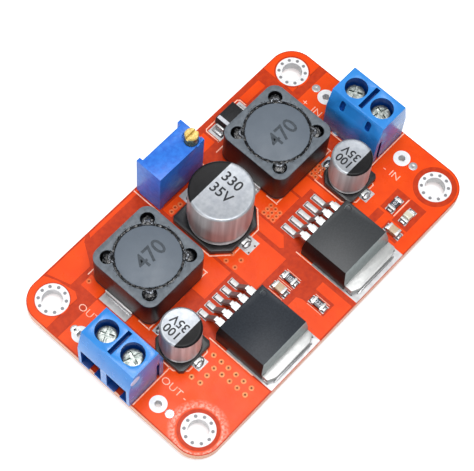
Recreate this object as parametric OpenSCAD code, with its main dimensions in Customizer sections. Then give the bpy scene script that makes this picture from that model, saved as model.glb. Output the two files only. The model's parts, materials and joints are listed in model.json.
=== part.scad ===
// Buck converter module: a bare circuit board that carries a step-up and a step-down
// regulator, two shielded inductors, three can capacitors, a rectifier, chip parts, a
// multi-turn trimmer and two two-pole screw terminals.
// Frame: +X runs from the output end to the input end, +Y towards the trimmer's edge,
// +Z up. The origin is the centre of the four mounting holes, on the board's underside.

/* [Circuit board] */
// Length of the board, along X
board_length = 61.6; // [60:0.2:90]
// Width of the board, along Y
board_width = 37.2; // [36.8:0.2:60]
// Thickness of the board
board_thickness = 1.6; // [0.8:0.2:3.2]
// Radius of the board's corners
corner_radius = 4; // [1:0.5:6]

/* [Plated holes] */
// Clear diameter of each mounting hole
mounting_hole_diameter = 3.2; // [2:0.1:4]
// Distance from a mounting hole's centre to the short edge
hole_inset_x = 3.95; // [3:0.05:6]
// Distance from a mounting hole's centre to the long edge
hole_inset_y = 3.85; // [3:0.05:6]
// Width of the tinned ring round a mounting hole
mounting_ring_width = 1; // [0.3:0.1:1.2]
// Clear diameter of each spare wire hole
wire_hole_diameter = 1.2; // [1:0.1:2.2]
// Width of the tinned ring round a wire hole
wire_ring_width = 0.75; // [0.3:0.05:1]
// Distance from the last terminal pole to the wire hole beside it
wire_hole_offset = 5.3; // [5:0.05:7]
// Clear diameter of the holes for the terminal pins
terminal_hole_diameter = 1.3; // [1.25:0.05:1.6]
// Clear diameter of the holes for the trimmer pins
trimmer_hole_diameter = 0.8; // [0.6:0.05:1.2]
// Width of the ring round each pin hole
pin_ring_width = 0.45; // [0.2:0.05:0.6]
// Thickness of the hole plating and of the rings
plating = 0.05; // [0.03:0.01:0.1]

/* [Soldering] */
// Thickness of the tinned pads
pad_thickness = 0.05; // [0.03:0.01:0.1]
// How far the through-hole pins stand out below the board
pin_drop = 1.5; // [1:0.1:3]
// Height of the solder cone round each pin
solder_height = 0.9; // [0.4:0.1:1.4]

/* [Screw terminals] */
// Distance between the two poles
pole_pitch = 5.08; // [4.8:0.01:7.5]
// Height of the housing
housing_height = 10; // [9.6:0.1:14]
// Depth of the housing, from back to wire side
housing_depth = 7.1; // [7:0.1:10]
// Width of each pole's cavity and wire mouth
cavity_width = 3.9; // [3.6:0.1:4]
// Height of the top of the wire mouth
mouth_top = 5.3; // [4:0.1:5.4]
// Height of the sill below the wire mouth
mouth_sill = 0.5; // [0.3:0.1:1]
// Height of the ceiling that the rising clamp stops under
cavity_height = 6.5; // [6:0.1:8]
// Diameter of the screw wells
well_diameter = 3.6; // [3.2:0.1:4]
// Diameter of the screw heads
screw_head_diameter = 3; // [2.6:0.1:3.4]
// Height of the screw heads
screw_head_height = 1.3; // [0.8:0.1:1.8]
// Diameter of the screw shanks
screw_diameter = 2.5; // [2:0.1:3]
// Rise of the clamp over one turn of its screw
screw_pitch = 0.45; // [0.3:0.05:0.7]
// Height of the wall that carries the screw
shoulder_thickness = 0.7; // [0.5:0.1:1.5]
// Distance from the board's output edge in to the housing front
output_terminal_setback = -0.3; // [-2:0.1:3]
// Distance from the board's input edge in to the housing front
input_terminal_setback = 0.6; // [-2:0.1:3]

/* [Clamps and contacts] */
// Length of each clamp along the wire
clamp_length = 3.8; // [3:0.1:4.2]
// Outside height of each clamp
clamp_height = 4.4; // [3.6:0.1:4.8]
// Thickness of a clamp's threaded top wall
clamp_top = 1; // [0.7:0.1:1.5]
// Thickness of a clamp's floor
clamp_floor = 0.5; // [0.4:0.1:0.8]
// Thickness of a clamp's side walls
clamp_side = 0.6; // [0.4:0.05:0.8]
// Width of the fixed contact bar
contact_width = 2.2; // [1.4:0.1:2.3]
// Thickness of the fixed contact bar
contact_thickness = 0.6; // [0.4:0.05:0.7]
// Width of the contact's solder pin
pin_width = 1; // [0.6:0.1:1.05]

/* [Inductors] */
// Side of the square shield
inductor_size = 12.5; // [12:0.1:15.2]
// Height of an inductor over the pads
inductor_height = 7; // [5:0.1:12]
// Diameter of the drum core's flanges
drum_diameter = 10; // [8:0.1:10.4]
// Gap between the drum and the shield
drum_gap = 0.35; // [0.2:0.05:0.6]
// Thickness of each drum flange
drum_flange = 1.2; // [0.8:0.1:2]
// Width of the terminals
inductor_tab_width = 5.4; // [3:0.1:8]
// Shift of the input inductor from the middle of its space, away from the main capacitor
input_inductor_shift = 0.175; // [-0.3:0.025:0.3]
// Shift of the output inductor from the middle of its space, towards the main capacitor
output_inductor_shift = 0.425; // [-0.3:0.025:0.5]
// Distance from the board's long middle line to the inductors' back faces
inductor_back = 13.4; // [12.5:0.05:13.5]
// Distance from the inductors' front faces to the bases of the small capacitors
small_capacitor_gap = 1.65; // [1:0.05:2.5]

/* [Can capacitors] */
// Diameter of the main capacitor's can
main_can_diameter = 10; // [8:0.1:11]
// Height of the main capacitor over the pads
main_can_height = 10.15; // [8:0.05:16]
// Diameter of the two small cans
small_can_diameter = 6.3; // [5:0.1:6.6]
// Height of the small capacitors over the pads
small_can_height = 7.7; // [5:0.1:12]
// How much wider a base is than its can
base_margin = 0.3; // [0.1:0.1:0.5]
// Thickness of the bases
can_base_thickness = 1; // [0.8:0.1:1.6]

/* [Regulators] */
// Width of a regulator's moulded body
regulator_width = 10.2; // [9:0.1:10.6]
// Height of the moulded body over the pads
regulator_height = 4.4; // [3.6:0.1:5]
// Length of the step-down regulator's body
step_down_length = 9.1; // [8:0.1:10]
// Length of the step-up regulator's body
step_up_length = 8.6; // [8:0.1:10]
// Thickness of the heat tab
tab_thickness = 1.27; // [0.8:0.01:1.6]
// Distance between neighbouring leads
lead_pitch = 1.7; // [1.5:0.05:1.9]
// Width of a lead
lead_width = 0.8; // [0.5:0.05:1]
// Width of a lead's broad root at the body
lead_root_width = 1.2; // [1:0.05:1.3]
// Thickness of a lead
lead_thickness = 0.45; // [0.3:0.05:0.6]
// Height at which the leads leave the body
lead_height = 2.2; // [1.6:0.1:2.6]

/* [Trimmer] */
// Length of the trimmer
trimmer_length = 9.53; // [9.4:0.01:12]
// Depth of the trimmer, over its end ribs
trimmer_depth = 4.83; // [4.8:0.01:6.4]
// Height of the trimmer over the pads
trimmer_height = 10.03; // [9.8:0.01:13]
// Wall of the trimmer's housing
trimmer_wall = 0.55; // [0.5:0.05:0.65]
// Diameter of the adjusting screw's head
trimmer_head_diameter = 2.19; // [1.9:0.01:2.4]
// Height of the screw head above the housing
trimmer_head_rise = 1.5; // [0.5:0.1:2.5]
// Distance from the screw's axis to the end of the housing
trimmer_screw_inset = 1.27; // [1.2:0.01:1.6]
// Number of teeth on the rotor, one for each full turn of the screw
rotor_teeth = 30; // [24:1:36]
// Pitch radius of the rotor
rotor_radius = 2.75; // [2.4:0.05:2.8]
// Mean radius of the worm
worm_radius = 0.65; // [0.55:0.05:0.7]
// Half the height of the worm's thread
thread_swing = 0.15; // [0.08:0.01:0.18]
// Distance between the trimmer's pins
trimmer_pin_pitch = 2.54; // [2:0.01:2.54]

/* [Small parts] */
// Length of a chip part
chip_length = 2; // [1.6:0.1:2.2]
// Width of a chip part
chip_width = 1.25; // [0.8:0.05:1.4]
// Height of the chip resistors
resistor_height = 0.5; // [0.35:0.05:0.8]
// Height of the chip capacitors
chip_capacitor_height = 1; // [0.5:0.05:1.3]
// Length of the rectifier's body
rectifier_length = 4.3; // [3.6:0.1:4.6]
// Width of the rectifier's body
rectifier_width = 2.6; // [2:0.1:2.8]
// Height of the rectifier over the pads
rectifier_height = 2.2; // [1.6:0.1:2.6]

/* [Fits] */
// Radial clearance of a screw in its hole
running_clearance = 0.05; // [0.03:0.01:0.08]
// Clearance between a sliding part and its guide
sliding_clearance = 0.1; // [0.05:0.01:0.2]
// Clearance round a part that is set in place for good
seat_clearance = 0.01; // [0.01:0.01:0.03]

/* [Hidden] */
$fn = 64;

// Levels
seat = board_thickness + pad_thickness;
over = 1;

// Mounting holes
hole_x = board_length / 2 - hole_inset_x;
hole_y = board_width / 2 - hole_inset_y;

// Screw terminals, measured from the line through the two screws; +X is the wire side
housing_front = housing_depth / 2;
housing_back = housing_depth / 2;
top_front = housing_front - 0.95;
top_back = housing_back - 1;
front_shoulder = 0.56 * housing_height;
back_shoulder = 0.6 * housing_height;
shoulder_top = cavity_height + shoulder_thickness;
screw_head_bottom = shoulder_top + running_clearance;
screw_head_top = screw_head_bottom + screw_head_height;
output_x = -(board_length / 2 - output_terminal_setback - housing_front);
input_x = board_length / 2 - input_terminal_setback - housing_front;
wire_hole_y = pole_pitch / 2 + wire_hole_offset;
output_wire_x = output_x - 0.4;
input_wire_x = input_x + 0.45;

// Clamps and contacts
clamp_width = cavity_width - 2 * sliding_clearance;
clamp_rest = 0.3;
clamp_travel = cavity_height - sliding_clearance - clamp_height - clamp_rest;
window_height = clamp_height - clamp_top - clamp_floor;
contact_bottom = clamp_rest + clamp_travel + clamp_floor + 0.2;
contact_top = contact_bottom + contact_thickness;
contact_back = housing_back - 0.65;
screw_tip = contact_top + sliding_clearance;
pin_x = -(contact_back - contact_thickness / 2);

// Capacitors
main_x = -0.25;
main_y = 5.65;
output_capacitor_x = -19.25;
input_capacitor_x = 18.45;
small_capacitor_y = inductor_back - inductor_size - small_capacitor_gap
    - (small_can_diameter + base_margin) / 2;
main_base = main_can_diameter + base_margin;
small_base = small_can_diameter + base_margin;
can_lead_thickness = 0.3;
can_lead_width = 0.13 * main_can_diameter;

// Inductors
inductor_y = inductor_back - inductor_size / 2;
inductor_tab_thickness = 0.25;
inductor_base_thickness = 0.6;
shield_bottom = inductor_tab_thickness + inductor_base_thickness;
shield_bore = drum_diameter / 2 + drum_gap;
drum_bottom = shield_bottom + seat_clearance;
drum_top = inductor_height - 0.05;
drum_core_radius = 2.4;
pin_ring_radius = terminal_hole_diameter / 2 + pin_ring_width;
input_inductor_x = (main_x + main_base / 2 + input_x + pin_x - pin_ring_radius) / 2
    + input_inductor_shift;
output_inductor_x = (main_x - main_base / 2 + output_x - pin_x + pin_ring_radius) / 2
    + output_inductor_shift;

// Regulators, measured from the lead side of the body
regulator_y = -board_width / 2 + 11.5;
step_down_x = -9.85;
step_up_x = 9.2;
step_down_tab = 1.6;
step_up_tab = 1.9;
step_down_lead = [1.7, 3.3, 4.6];
step_up_lead = [1.7, 2.7, 4.8];

// Trimmer, measured from the centre of its footprint
trimmer_x = -0.48;
trimmer_y = board_width / 2 - 0.5 - trimmer_depth / 2;
trimmer_rib = 0.7;
trimmer_rib_depth = 0.62;
trimmer_feet = 0.4;
trimmer_ceiling = trimmer_height - 1.6;
trimmer_screw_x = trimmer_length / 2 - trimmer_screw_inset;
trimmer_cavity_front = -trimmer_depth / 2 + trimmer_wall;
trimmer_cavity_back = trimmer_depth / 2 - trimmer_rib_depth - trimmer_wall;
trimmer_cavity_right = trimmer_length / 2 - 0.4;
trimmer_cavity_left = -trimmer_length / 2 + trimmer_wall + 0.6;
worm_outer = worm_radius + thread_swing;
worm_y = trimmer_cavity_front + sliding_clearance + worm_outer;
worm_lead = 2 * PI * rotor_radius / rotor_teeth;
mesh_gap = 0.03;
rotor_x = trimmer_screw_x - worm_radius - rotor_radius - mesh_gap;
rotor_z = trimmer_height / 2;
rotor_width = 1;
rotor_bore = 0.65;
worm_half = 1.8;
worm_slices = 12;
journal_radius = 0.4;
journal_bottom = 1.3;
journal_height = 0.8;
journal_top = journal_bottom + journal_height + running_clearance;
element_front = worm_y + worm_outer + 0.15;
element_thickness = 0.7;
base_seal_height = 0.5;
trimmer_pin_radius = 0.25;
trimmer_pin_y = element_front + element_thickness + trimmer_pin_radius + 0.02;
trimmer_bore_top = trimmer_height - 0.45;
trimmer_recess_radius = 1.48;
seal_z = trimmer_ceiling + 0.65;
seal_groove_radius = trimmer_head_diameter / 2 - 0.4;
seal_half = 0.25;

// Rectifier and chip parts: [x, y, turn]
rectifier_x = 13.45;
rectifier_y = board_width / 2 - 2.7;
resistor_places = [[-0.2, -8.7, 90], [-0.3, -14.5, 90], [20.15, -12.2, 0]];
chip_capacitor_places = [[-2.5, -8.7, 90], [16.5, -14.95, 90]];
indicator_place = [19.95, -14.95, 0];
chip_end = 0.4;
chip_skin = 0.03;
indicator_base_height = 0.4;
indicator_lens_height = 0.45;

MASK = [0.93, 0.33, 0.12];
TIN = [0.86, 0.86, 0.87];
TERMINAL_BLUE = [0.22, 0.5, 0.9];
TRIMMER_BLUE = [0.13, 0.42, 0.95];
FERRITE = [0.42, 0.45, 0.48];
ALUMINIUM = [0.8, 0.8, 0.82];
MOULDING = [0.2, 0.22, 0.25];
STEEL = [0.75, 0.77, 0.78];
BRASS = [0.86, 0.78, 0.45];
COPPER = [0.8, 0.45, 0.25];

// ---- Helpers ----

module rounded_square(length, width, radius) {
    square([length - 2 * radius, width], center = true);
    square([length, width - 2 * radius], center = true);
    for (x = [-1, 1], y = [-1, 1])
        translate([x * (length / 2 - radius), y * (width / 2 - radius)]) circle(radius);
}

// A profile drawn in X and Z, extruded evenly to both sides of Y = 0
module along_y(width) {
    rotate([90, 0, 0]) translate([0, 0, -width / 2]) linear_extrude(width) children();
}

// A profile drawn in Y and Z, extruded evenly to both sides of X = 0
module along_x(length) {
    rotate([90, 0, 90]) translate([0, 0, -length / 2]) linear_extrude(length) children();
}

// A cylinder along Y from y1 to y2
module y_cylinder(radius, y1, y2) {
    translate([0, y2, 0]) rotate([90, 0, 0]) cylinder(h = y2 - y1, r = radius);
}

module at_output() translate([output_x, 0, seat]) rotate([0, 0, 180]) children();
module at_input() translate([input_x, 0, seat]) children();
module each_pole() for (side = [-1, 1]) translate([0, side * pole_pitch / 2, 0]) children();

module each_mounting_hole()
    for (x = [-1, 1], y = [-1, 1]) translate([x * hole_x, y * hole_y, 0]) children();

module each_wire_hole()
    for (x = [output_wire_x, input_wire_x], y = [-1, 1])
        translate([x, y * wire_hole_y, 0]) children();

module each_terminal_pin() {
    for (x = [output_x - pin_x, input_x + pin_x], y = [-1, 1])
        translate([x, y * pole_pitch / 2, 0]) children();
}

module each_trimmer_pin()
    for (i = [-1 : 1])
        translate([trimmer_x + i * trimmer_pin_pitch, trimmer_y + trimmer_pin_y, 0])
            children();

// ---- Board ----

module drill(diameter)
    translate([0, 0, -over])
        cylinder(h = board_thickness + 2 * over, d = diameter + 2 * plating + 2 * seat_clearance);

module circuit_board() color(MASK) difference() {
    linear_extrude(board_thickness) rounded_square(board_length, board_width, corner_radius);
    each_mounting_hole() drill(mounting_hole_diameter);
    each_wire_hole() translate([0, 0, -over])
        cylinder(h = board_thickness + 2 * over, d = wire_hole_diameter);
    each_terminal_pin() drill(terminal_hole_diameter);
    each_trimmer_pin() drill(trimmer_hole_diameter);
}

// The plated wall of a hole with its ring on either face of the board
module plated_hole(diameter, ring) {
    inner = diameter / 2;
    wall = inner + plating;
    outer = inner + ring;
    rotate_extrude() polygon([
        [inner, -plating], [outer, -plating], [outer, 0], [wall, 0],
        [wall, board_thickness], [outer, board_thickness],
        [outer, board_thickness + plating], [inner, board_thickness + plating]
    ]);
}

module mounting_hole_plating() color(TIN)
    each_mounting_hole() plated_hole(mounting_hole_diameter, mounting_ring_width);

// Tinned rings on both faces round the bare drilled holes
module wire_hole_plating() color(TIN)
    each_wire_hole() for (z = [-plating, board_thickness]) translate([0, 0, z])
        difference() {
            cylinder(h = plating, r = wire_hole_diameter / 2 + wire_ring_width);
            translate([0, 0, -over]) cylinder(h = plating + 2 * over, d = wire_hole_diameter);
        }

module pin_hole_plating() color(TIN) {
    each_terminal_pin() plated_hole(terminal_hole_diameter, pin_ring_width);
    each_trimmer_pin() plated_hole(trimmer_hole_diameter, pin_ring_width);
}

module pad(x, y, length, width)
    translate([x - length / 2, y - width / 2, board_thickness])
        cube([length, width, pad_thickness]);

// Pads at both ends of a part that lies along X, gone out by reach past its length
module end_pads(place, length, width, inward, reach) {
    size = inward + reach;
    translate([place[0], place[1], 0]) rotate([0, 0, place[2]])
        for (side = [-1, 1]) pad(side * (length / 2 + (reach - inward) / 2), 0, size, width);
}

module regulator_pads(x, length, tab, lead) {
    edge_gap = 0.1;
    tab_end = board_width / 2 + regulator_y - edge_gap;
    pad(x, regulator_y - tab_end / 2 - 1.2, regulator_width + 0.6, tab_end - 2.4);
    for (i = [-2 : 2])
        pad(x + i * lead_pitch, regulator_y + (lead[1] + lead[2]) / 2,
            lead_width + 0.3, lead[2] - lead[1] + 0.6);
}

module solder_pads() color(TIN) {
    regulator_pads(step_down_x, step_down_length, step_down_tab, step_down_lead);
    regulator_pads(step_up_x, step_up_length, step_up_tab, step_up_lead);
    end_pads([input_inductor_x, inductor_y, 0], inductor_size, inductor_tab_width, 1.9, 1.3);
    end_pads([output_inductor_x, inductor_y, 0], inductor_size, inductor_tab_width, 1.9, 1.6);
    end_pads([main_x, main_y, 90], main_base, 2.6, 3, 2);
    for (x = [output_capacitor_x, input_capacitor_x])
        end_pads([x, small_capacitor_y, 90], small_base, 2.1, 1.8, 1.4);
    end_pads([rectifier_x, rectifier_y, 0], rectifier_length, rectifier_width, 0.9, 1.5);
    for (place = concat(resistor_places, chip_capacitor_places, [indicator_place]))
        end_pads(place, chip_length, chip_width + 0.15, 0.4, 0.5);
}

// Solder cones under the board; the pins stand through them
module pin_solder() color(TIN) {
    each_terminal_pin() difference() {
        solder_cone(terminal_hole_diameter / 2);
        cube([contact_thickness, pin_width, 4 * pin_drop], center = true);
    }
    each_trimmer_pin() difference() {
        solder_cone(trimmer_hole_diameter / 2);
        cylinder(h = 4 * pin_drop, r = trimmer_pin_radius, center = true);
    }
}

module solder_cone(hole)
    translate([0, 0, -plating - solder_height])
        cylinder(h = solder_height, r1 = hole, r2 = hole + pin_ring_width);

// ---- Screw terminals ----

groove_width = 0.74;
groove_back = 2.15;
groove_length = 4.35;
groove_depth = 1.8;
side_slot_width = 0.6;
side_slot_depth = 0.35;
side_slot_height = 5.6;
recess_width = 0.9;
recess_length = 2.1;
recess_depth = 0.6;
back_recess_z = 0.82 * housing_height;
front_wall = 1.3;
sill_notch_width = 1.1;
sill_notch_depth = 1.2;

module terminal_housing() color(TERMINAL_BLUE) difference() {
    along_y(2 * pole_pitch) polygon([
        [-housing_back, 0], [housing_front, 0], [housing_front, front_shoulder],
        [top_front, housing_height], [-top_back, housing_height],
        [-housing_back, back_shoulder]
    ]);
    each_pole() pole_cavity();
    // Groove between the poles on top
    translate([-groove_back, -groove_width / 2, housing_height - groove_depth])
        cube([groove_length, groove_width, groove_depth + over]);
    // Upright dovetail slots that join one housing to the next
    for (side = [-1, 1]) translate([-housing_back + 1.1, side * pole_pitch, -over])
        linear_extrude(side_slot_height + over) polygon([
            [-side_slot_width / 2, side * over], [side_slot_width / 2, side * over],
            [side_slot_width / 2, 0], [side_slot_width * 0.75, -side * side_slot_depth],
            [-side_slot_width * 0.75, -side * side_slot_depth], [-side_slot_width / 2, 0]
        ]);
    // Small upright oval recesses in the sloping back
    back_slope = (housing_back - top_back) / (housing_height - back_shoulder);
    each_pole()
        translate([-housing_back + back_slope * (back_recess_z - back_shoulder), 0, back_recess_z])
            rotate([0, atan(back_slope) - 90, 0]) translate([0, 0, -recess_depth])
                linear_extrude(recess_depth + over)
                    rounded_square(recess_length, recess_width, recess_width / 2 - 0.01);
}

module pole_cavity() {
    translate([-contact_back - seat_clearance, -cavity_width / 2, -over])
        cube([contact_back + housing_front - front_wall, cavity_width, cavity_height + over]);
    translate([0, -cavity_width / 2, mouth_sill])
        cube([housing_front + over, cavity_width, mouth_top - mouth_sill]);
    // Notch in the middle of the sill under the wire mouth
    translate([housing_front - sill_notch_depth, -sill_notch_width / 2, -over])
        cube([sill_notch_depth + over, sill_notch_width, mouth_sill + 2 * over]);
    translate([0, 0, cavity_height - over])
        cylinder(h = housing_height, r = screw_diameter / 2 + running_clearance);
    translate([0, 0, shoulder_top]) cylinder(h = housing_height, d = well_diameter);
}

module terminal_screw() color(STEEL) {
    shank = screw_diameter / 2;
    head = screw_head_diameter / 2;
    bevel = 0.15;
    slot_width = 0.5;
    slot_depth = 0.65;
    difference() {
        rotate_extrude() polygon([
            [0, screw_tip], [shank - bevel, screw_tip], [shank, screw_tip + bevel],
            [shank, screw_head_bottom], [head, screw_head_bottom],
            [head, screw_head_top - bevel], [head - bevel, screw_head_top],
            [0, screw_head_top]
        ]);
        translate([-head - over, -slot_width / 2, screw_head_top - slot_depth])
            cube([2 * (head + over), slot_width, slot_depth + over]);
        translate([-slot_width / 2, -head / 2, screw_head_top - slot_depth])
            cube([slot_width, head, slot_depth + over]);
    }
}

// A square steel loop: its threaded top wall climbs the screw, its floor lifts the wire
module terminal_clamp() color(STEEL) difference() {
    corner = 0.4;
    translate([0, 0, clamp_rest]) along_x(clamp_length) difference() {
        translate([0, clamp_height / 2]) rounded_square(clamp_width, clamp_height, corner);
        translate([-clamp_width / 2 + clamp_side, clamp_floor])
            square([clamp_width - 2 * clamp_side, window_height]);
    }
    cylinder(h = housing_height, r = screw_diameter / 2 + running_clearance);
}

// The fixed bar that the wire is pressed against, with its solder pin
module terminal_contacts() color(TIN) each_pole() {
    tongue_end = clamp_length / 2 - 0.2;
    along_y(contact_width) polygon([
        [-contact_back, 0], [-contact_back + contact_thickness, 0],
        [-contact_back + contact_thickness, contact_bottom], [tongue_end, contact_bottom],
        [tongue_end, contact_top], [-contact_back, contact_top]
    ]);
    translate([pin_x - contact_thickness / 2, -pin_width / 2, -seat - pin_drop])
        cube([contact_thickness, pin_width, seat + pin_drop + contact_thickness]);
}

// The back pole of each terminal lies towards +Y, the front pole towards -Y
module output_pole(side) at_output() translate([0, -side * pole_pitch / 2, 0]) children();
module input_pole(side) at_input() translate([0, side * pole_pitch / 2, 0]) children();

// ---- Inductors ----

module at_inductor(x) translate([x, inductor_y, seat]) children();

// Square ferrite ring, with a notch in each corner for the ends of the winding
module inductor_shield() color(FERRITE) {
    notch_radius = 1.1;
    notch_place = shield_bore + 0.65;
    translate([0, 0, shield_bottom]) linear_extrude(inductor_height - shield_bottom)
        difference() {
            rounded_square(inductor_size, inductor_size, 1.8);
            circle(shield_bore);
            for (turn = [45 : 90 : 315]) rotate(turn) translate([notch_place, 0])
                circle(notch_radius);
        }
}

module inductor_drum() color(FERRITE) rotate_extrude() polygon([
    [0, drum_bottom], [drum_diameter / 2, drum_bottom],
    [drum_diameter / 2, drum_bottom + drum_flange],
    [drum_core_radius, drum_bottom + drum_flange],
    [drum_core_radius, drum_top - drum_flange],
    [drum_diameter / 2, drum_top - drum_flange],
    [drum_diameter / 2, drum_top - 0.1], [drum_diameter / 2 - 0.1, drum_top],
    [0, drum_top]
]);

// Enamelled wire between the flanges: the outer layer shows its turns
module inductor_winding() color(COPPER) {
    low = drum_bottom + drum_flange + seat_clearance;
    high = drum_top - drum_flange - seat_clearance;
    turns = 7;
    wire = (high - low) / turns;
    outer = drum_diameter / 2 - 0.3;
    inner = drum_core_radius + seat_clearance;
    steps = 4;
    rotate_extrude() polygon(concat(
        [[inner, high], [inner, low]],
        [for (turn = [0 : turns - 1], step = [0 : steps - 1])
            [outer - wire / 2 + wire / 2 * sin(180 * (step + 0.5) / steps),
             low + wire * (turn + (1 - cos(180 * (step + 0.5) / steps)) / 2)]]
    ));
}

module inductor_base() color(MOULDING) translate([0, 0, inductor_tab_thickness])
    linear_extrude(inductor_base_thickness)
        rounded_square(inductor_size, inductor_size, 1.8);

// Tinned plates folded from under the base a little way up the two sides
module inductor_tabs() color(TIN) for (side = [-1, 1]) {
    inner = inductor_size / 2 - 1.9;
    outer = inductor_size / 2;
    plate_top = shield_bottom;
    along_y(inductor_tab_width) polygon([
        [side * inner, 0], [side * (outer + inductor_tab_thickness), 0],
        [side * (outer + inductor_tab_thickness), plate_top], [side * outer, plate_top],
        [side * outer, inductor_tab_thickness], [side * inner, inductor_tab_thickness]
    ]);
}

// ---- Can capacitors, with the marked (negative) side towards +Y ----

module at_main() translate([main_x, main_y, seat]) children();
module at_small(x) translate([x, small_capacitor_y, seat]) rotate([0, 0, 180]) children();

// Drawn aluminium can with the rolled neck that grips its rubber plug
module can(diameter, height) color(ALUMINIUM) {
    radius = diameter / 2;
    bottom = can_base_thickness - 0.2;
    foot = 0.25;
    neck = 0.07 * diameter;
    neck_z = bottom + 0.12 * diameter;
    crown = 0.35;
    steps = 6;
    rotate_extrude() polygon(concat(
        [[0, bottom], [radius - neck - foot, bottom], [radius - foot, bottom + foot],
         [radius - foot, neck_z - neck]],
        [for (step = [1 : steps - 1])
            [radius - foot * cos(180 * step / steps / 2) - (neck - foot)
                * sin(180 * step / steps), neck_z - neck * cos(180 * step / steps)]],
        [[radius, neck_z + neck]],
        [for (step = [0 : steps])
            [radius - crown + crown * cos(90 * step / steps),
             height - crown + crown * sin(90 * step / steps)]],
        [[0, height]]
    ));
}

// Black base plate: two corners are cut on the unmarked side
module can_base(diameter) color(MOULDING) difference() {
    size = diameter + base_margin;
    cut = 0.22 * size;
    blunt = 0.5;
    half = size / 2;
    linear_extrude(can_base_thickness) polygon([
        [-half + cut, -half], [half - cut, -half], [half, -half + cut],
        [half, half - blunt], [half - blunt, half], [-half + blunt, half],
        [-half, half - blunt], [-half, -half + cut]
    ]);
    translate([0, 0, can_base_thickness - 0.2])
        cylinder(h = over, r = diameter / 2 - 0.25 + seat_clearance);
    lead_channel(size + 2 * over, seat_clearance);
}

module lead_channel(length, gap)
    translate([-can_lead_width / 2 - gap, -length / 2, -gap])
        cube([can_lead_width + 2 * gap, length, can_lead_thickness + 2 * gap]);

module can_leads(diameter) color(TIN) {
    inner = 0.12 * diameter;
    outer = (diameter + base_margin) / 2 + 0.5;
    for (side = [-1, 1])
        translate([-can_lead_width / 2, side > 0 ? inner : -outer, 0])
            cube([can_lead_width, outer - inner, can_lead_thickness]);
}

// ---- Regulators: the body's lead side is Y = 0, the heat tab points to -Y ----

module at_regulator(x) translate([x, regulator_y, seat]) children();

module regulator_body(length, bevel) color(MOULDING) {
    draft = 0.45;
    half = regulator_width / 2;
    difference() {
        translate([0, -length / 2, 0]) along_y(length) polygon([
            [-half, 0], [half, 0], [half, lead_height], [half - draft, regulator_height],
            [-half + draft, regulator_height], [-half, lead_height]
        ]);
        // Sloping face above the heat tab
        translate([0, -length, 0]) along_x(2 * regulator_width) polygon([
            [-over, tab_thickness], [0, tab_thickness], [bevel, regulator_height],
            [bevel, regulator_height + over], [-over, regulator_height + over]
        ]);
        // Shallow slope above the leads
        along_x(2 * regulator_width) polygon([
            [over, lead_height + lead_thickness], [0, lead_height + lead_thickness],
            [-0.2, regulator_height], [-0.2, regulator_height + over],
            [over, regulator_height + over]
        ]);
        heat_slug(length);
        // Moulding pin mark near the first lead
        translate([half - 1.4, -1.3, regulator_height - 0.1]) cylinder(h = over, r = 0.5);
    }
}

// The part of the heat tab that the body is moulded over
module heat_slug(length)
    translate([-0.42 * regulator_width, -length - over, -over])
        cube([0.84 * regulator_width, over + 0.8 * length, tab_thickness + over]);

module regulator_frame(length, tab, lead) color(TIN) {
    half = regulator_width / 2 - 0.1;
    slug = 0.42 * regulator_width;
    corner = [1.3, 0.6];
    linear_extrude(tab_thickness) polygon([
        [-half + corner[0], -length - tab], [half - corner[0], -length - tab],
        [half, -length - tab + corner[1]], [half, -length], [slug, -length],
        [slug, -0.2 * length], [-slug, -0.2 * length], [-slug, -length],
        [-half, -length], [-half, -length - tab + corner[1]]
    ]);
    for (i = [-2 : 2]) translate([i * lead_pitch, 0, 0]) gull_wing(lead);
}

// A lead that leaves the body level, steps down and ends in a flat foot
module gull_wing(lead) {
    top = lead_height + lead_thickness;
    lean = 0.35;
    along_x(lead_width) polygon([
        [0, lead_height], [lead[0] - lean, lead_height], [lead[1] - lean, 0], [lead[2], 0],
        [lead[2], lead_thickness], [lead[1], lead_thickness], [lead[0], top], [0, top]
    ]);
    translate([-lead_root_width / 2, 0, lead_height])
        cube([lead_root_width, lead[0] - 2 * lean + 0.25, lead_thickness]);
}

// ---- Rectifier ----

module at_rectifier() translate([rectifier_x, rectifier_y, seat]) children();
rectifier_lead = 0.25;

module rectifier_body() color(MOULDING) {
    half = rectifier_length / 2;
    waist = 0.5 * rectifier_height;
    draft = 0.2;
    along_y(rectifier_width) polygon([
        [-half + draft, rectifier_lead], [half - draft, rectifier_lead], [half, waist],
        [half - draft, rectifier_height], [-half + draft, rectifier_height], [-half, waist]
    ]);
}

module rectifier_leads() color(TIN) for (side = [-1, 1]) {
    half = rectifier_length / 2;
    waist = 0.5 * rectifier_height;
    out = half + 0.35;
    along_y(0.6 * rectifier_width) polygon([
        [side * (half - 1), 0], [side * out, 0], [side * out, waist + rectifier_lead],
        [side * half, waist + rectifier_lead], [side * half, waist],
        [side * (out - rectifier_lead), waist],
        [side * (out - rectifier_lead), rectifier_lead],
        [side * (half - 1), rectifier_lead]
    ]);
}

// ---- Chip parts ----

module at_chip(place) translate([place[0], place[1], seat]) rotate([0, 0, place[2]]) children();

module chip_body(height)
    translate([-chip_length / 2 + chip_skin, -chip_width / 2, chip_skin])
        cube([chip_length - 2 * chip_skin, chip_width, height]);

// Tinned caps that wrap both ends of a chip
module chip_ends(height) difference() {
    for (side = [-1, 1])
        translate([side * (chip_length - chip_end) / 2, 0, height / 2 + chip_skin])
            cube([chip_end, chip_width + 2 * chip_skin, height + 2 * chip_skin],
                center = true);
    chip_body(height);
}

module chip_resistor_bodies() color([0.12, 0.12, 0.14])
    for (place = resistor_places) at_chip(place) chip_body(resistor_height);
module chip_resistor_ends() color(TIN)
    for (place = resistor_places) at_chip(place) chip_ends(resistor_height);
module chip_capacitor_bodies() color([0.78, 0.7, 0.58])
    for (place = chip_capacitor_places) at_chip(place) chip_body(chip_capacitor_height);
module chip_capacitor_ends() color(TIN)
    for (place = chip_capacitor_places) at_chip(place) chip_ends(chip_capacitor_height);

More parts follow.
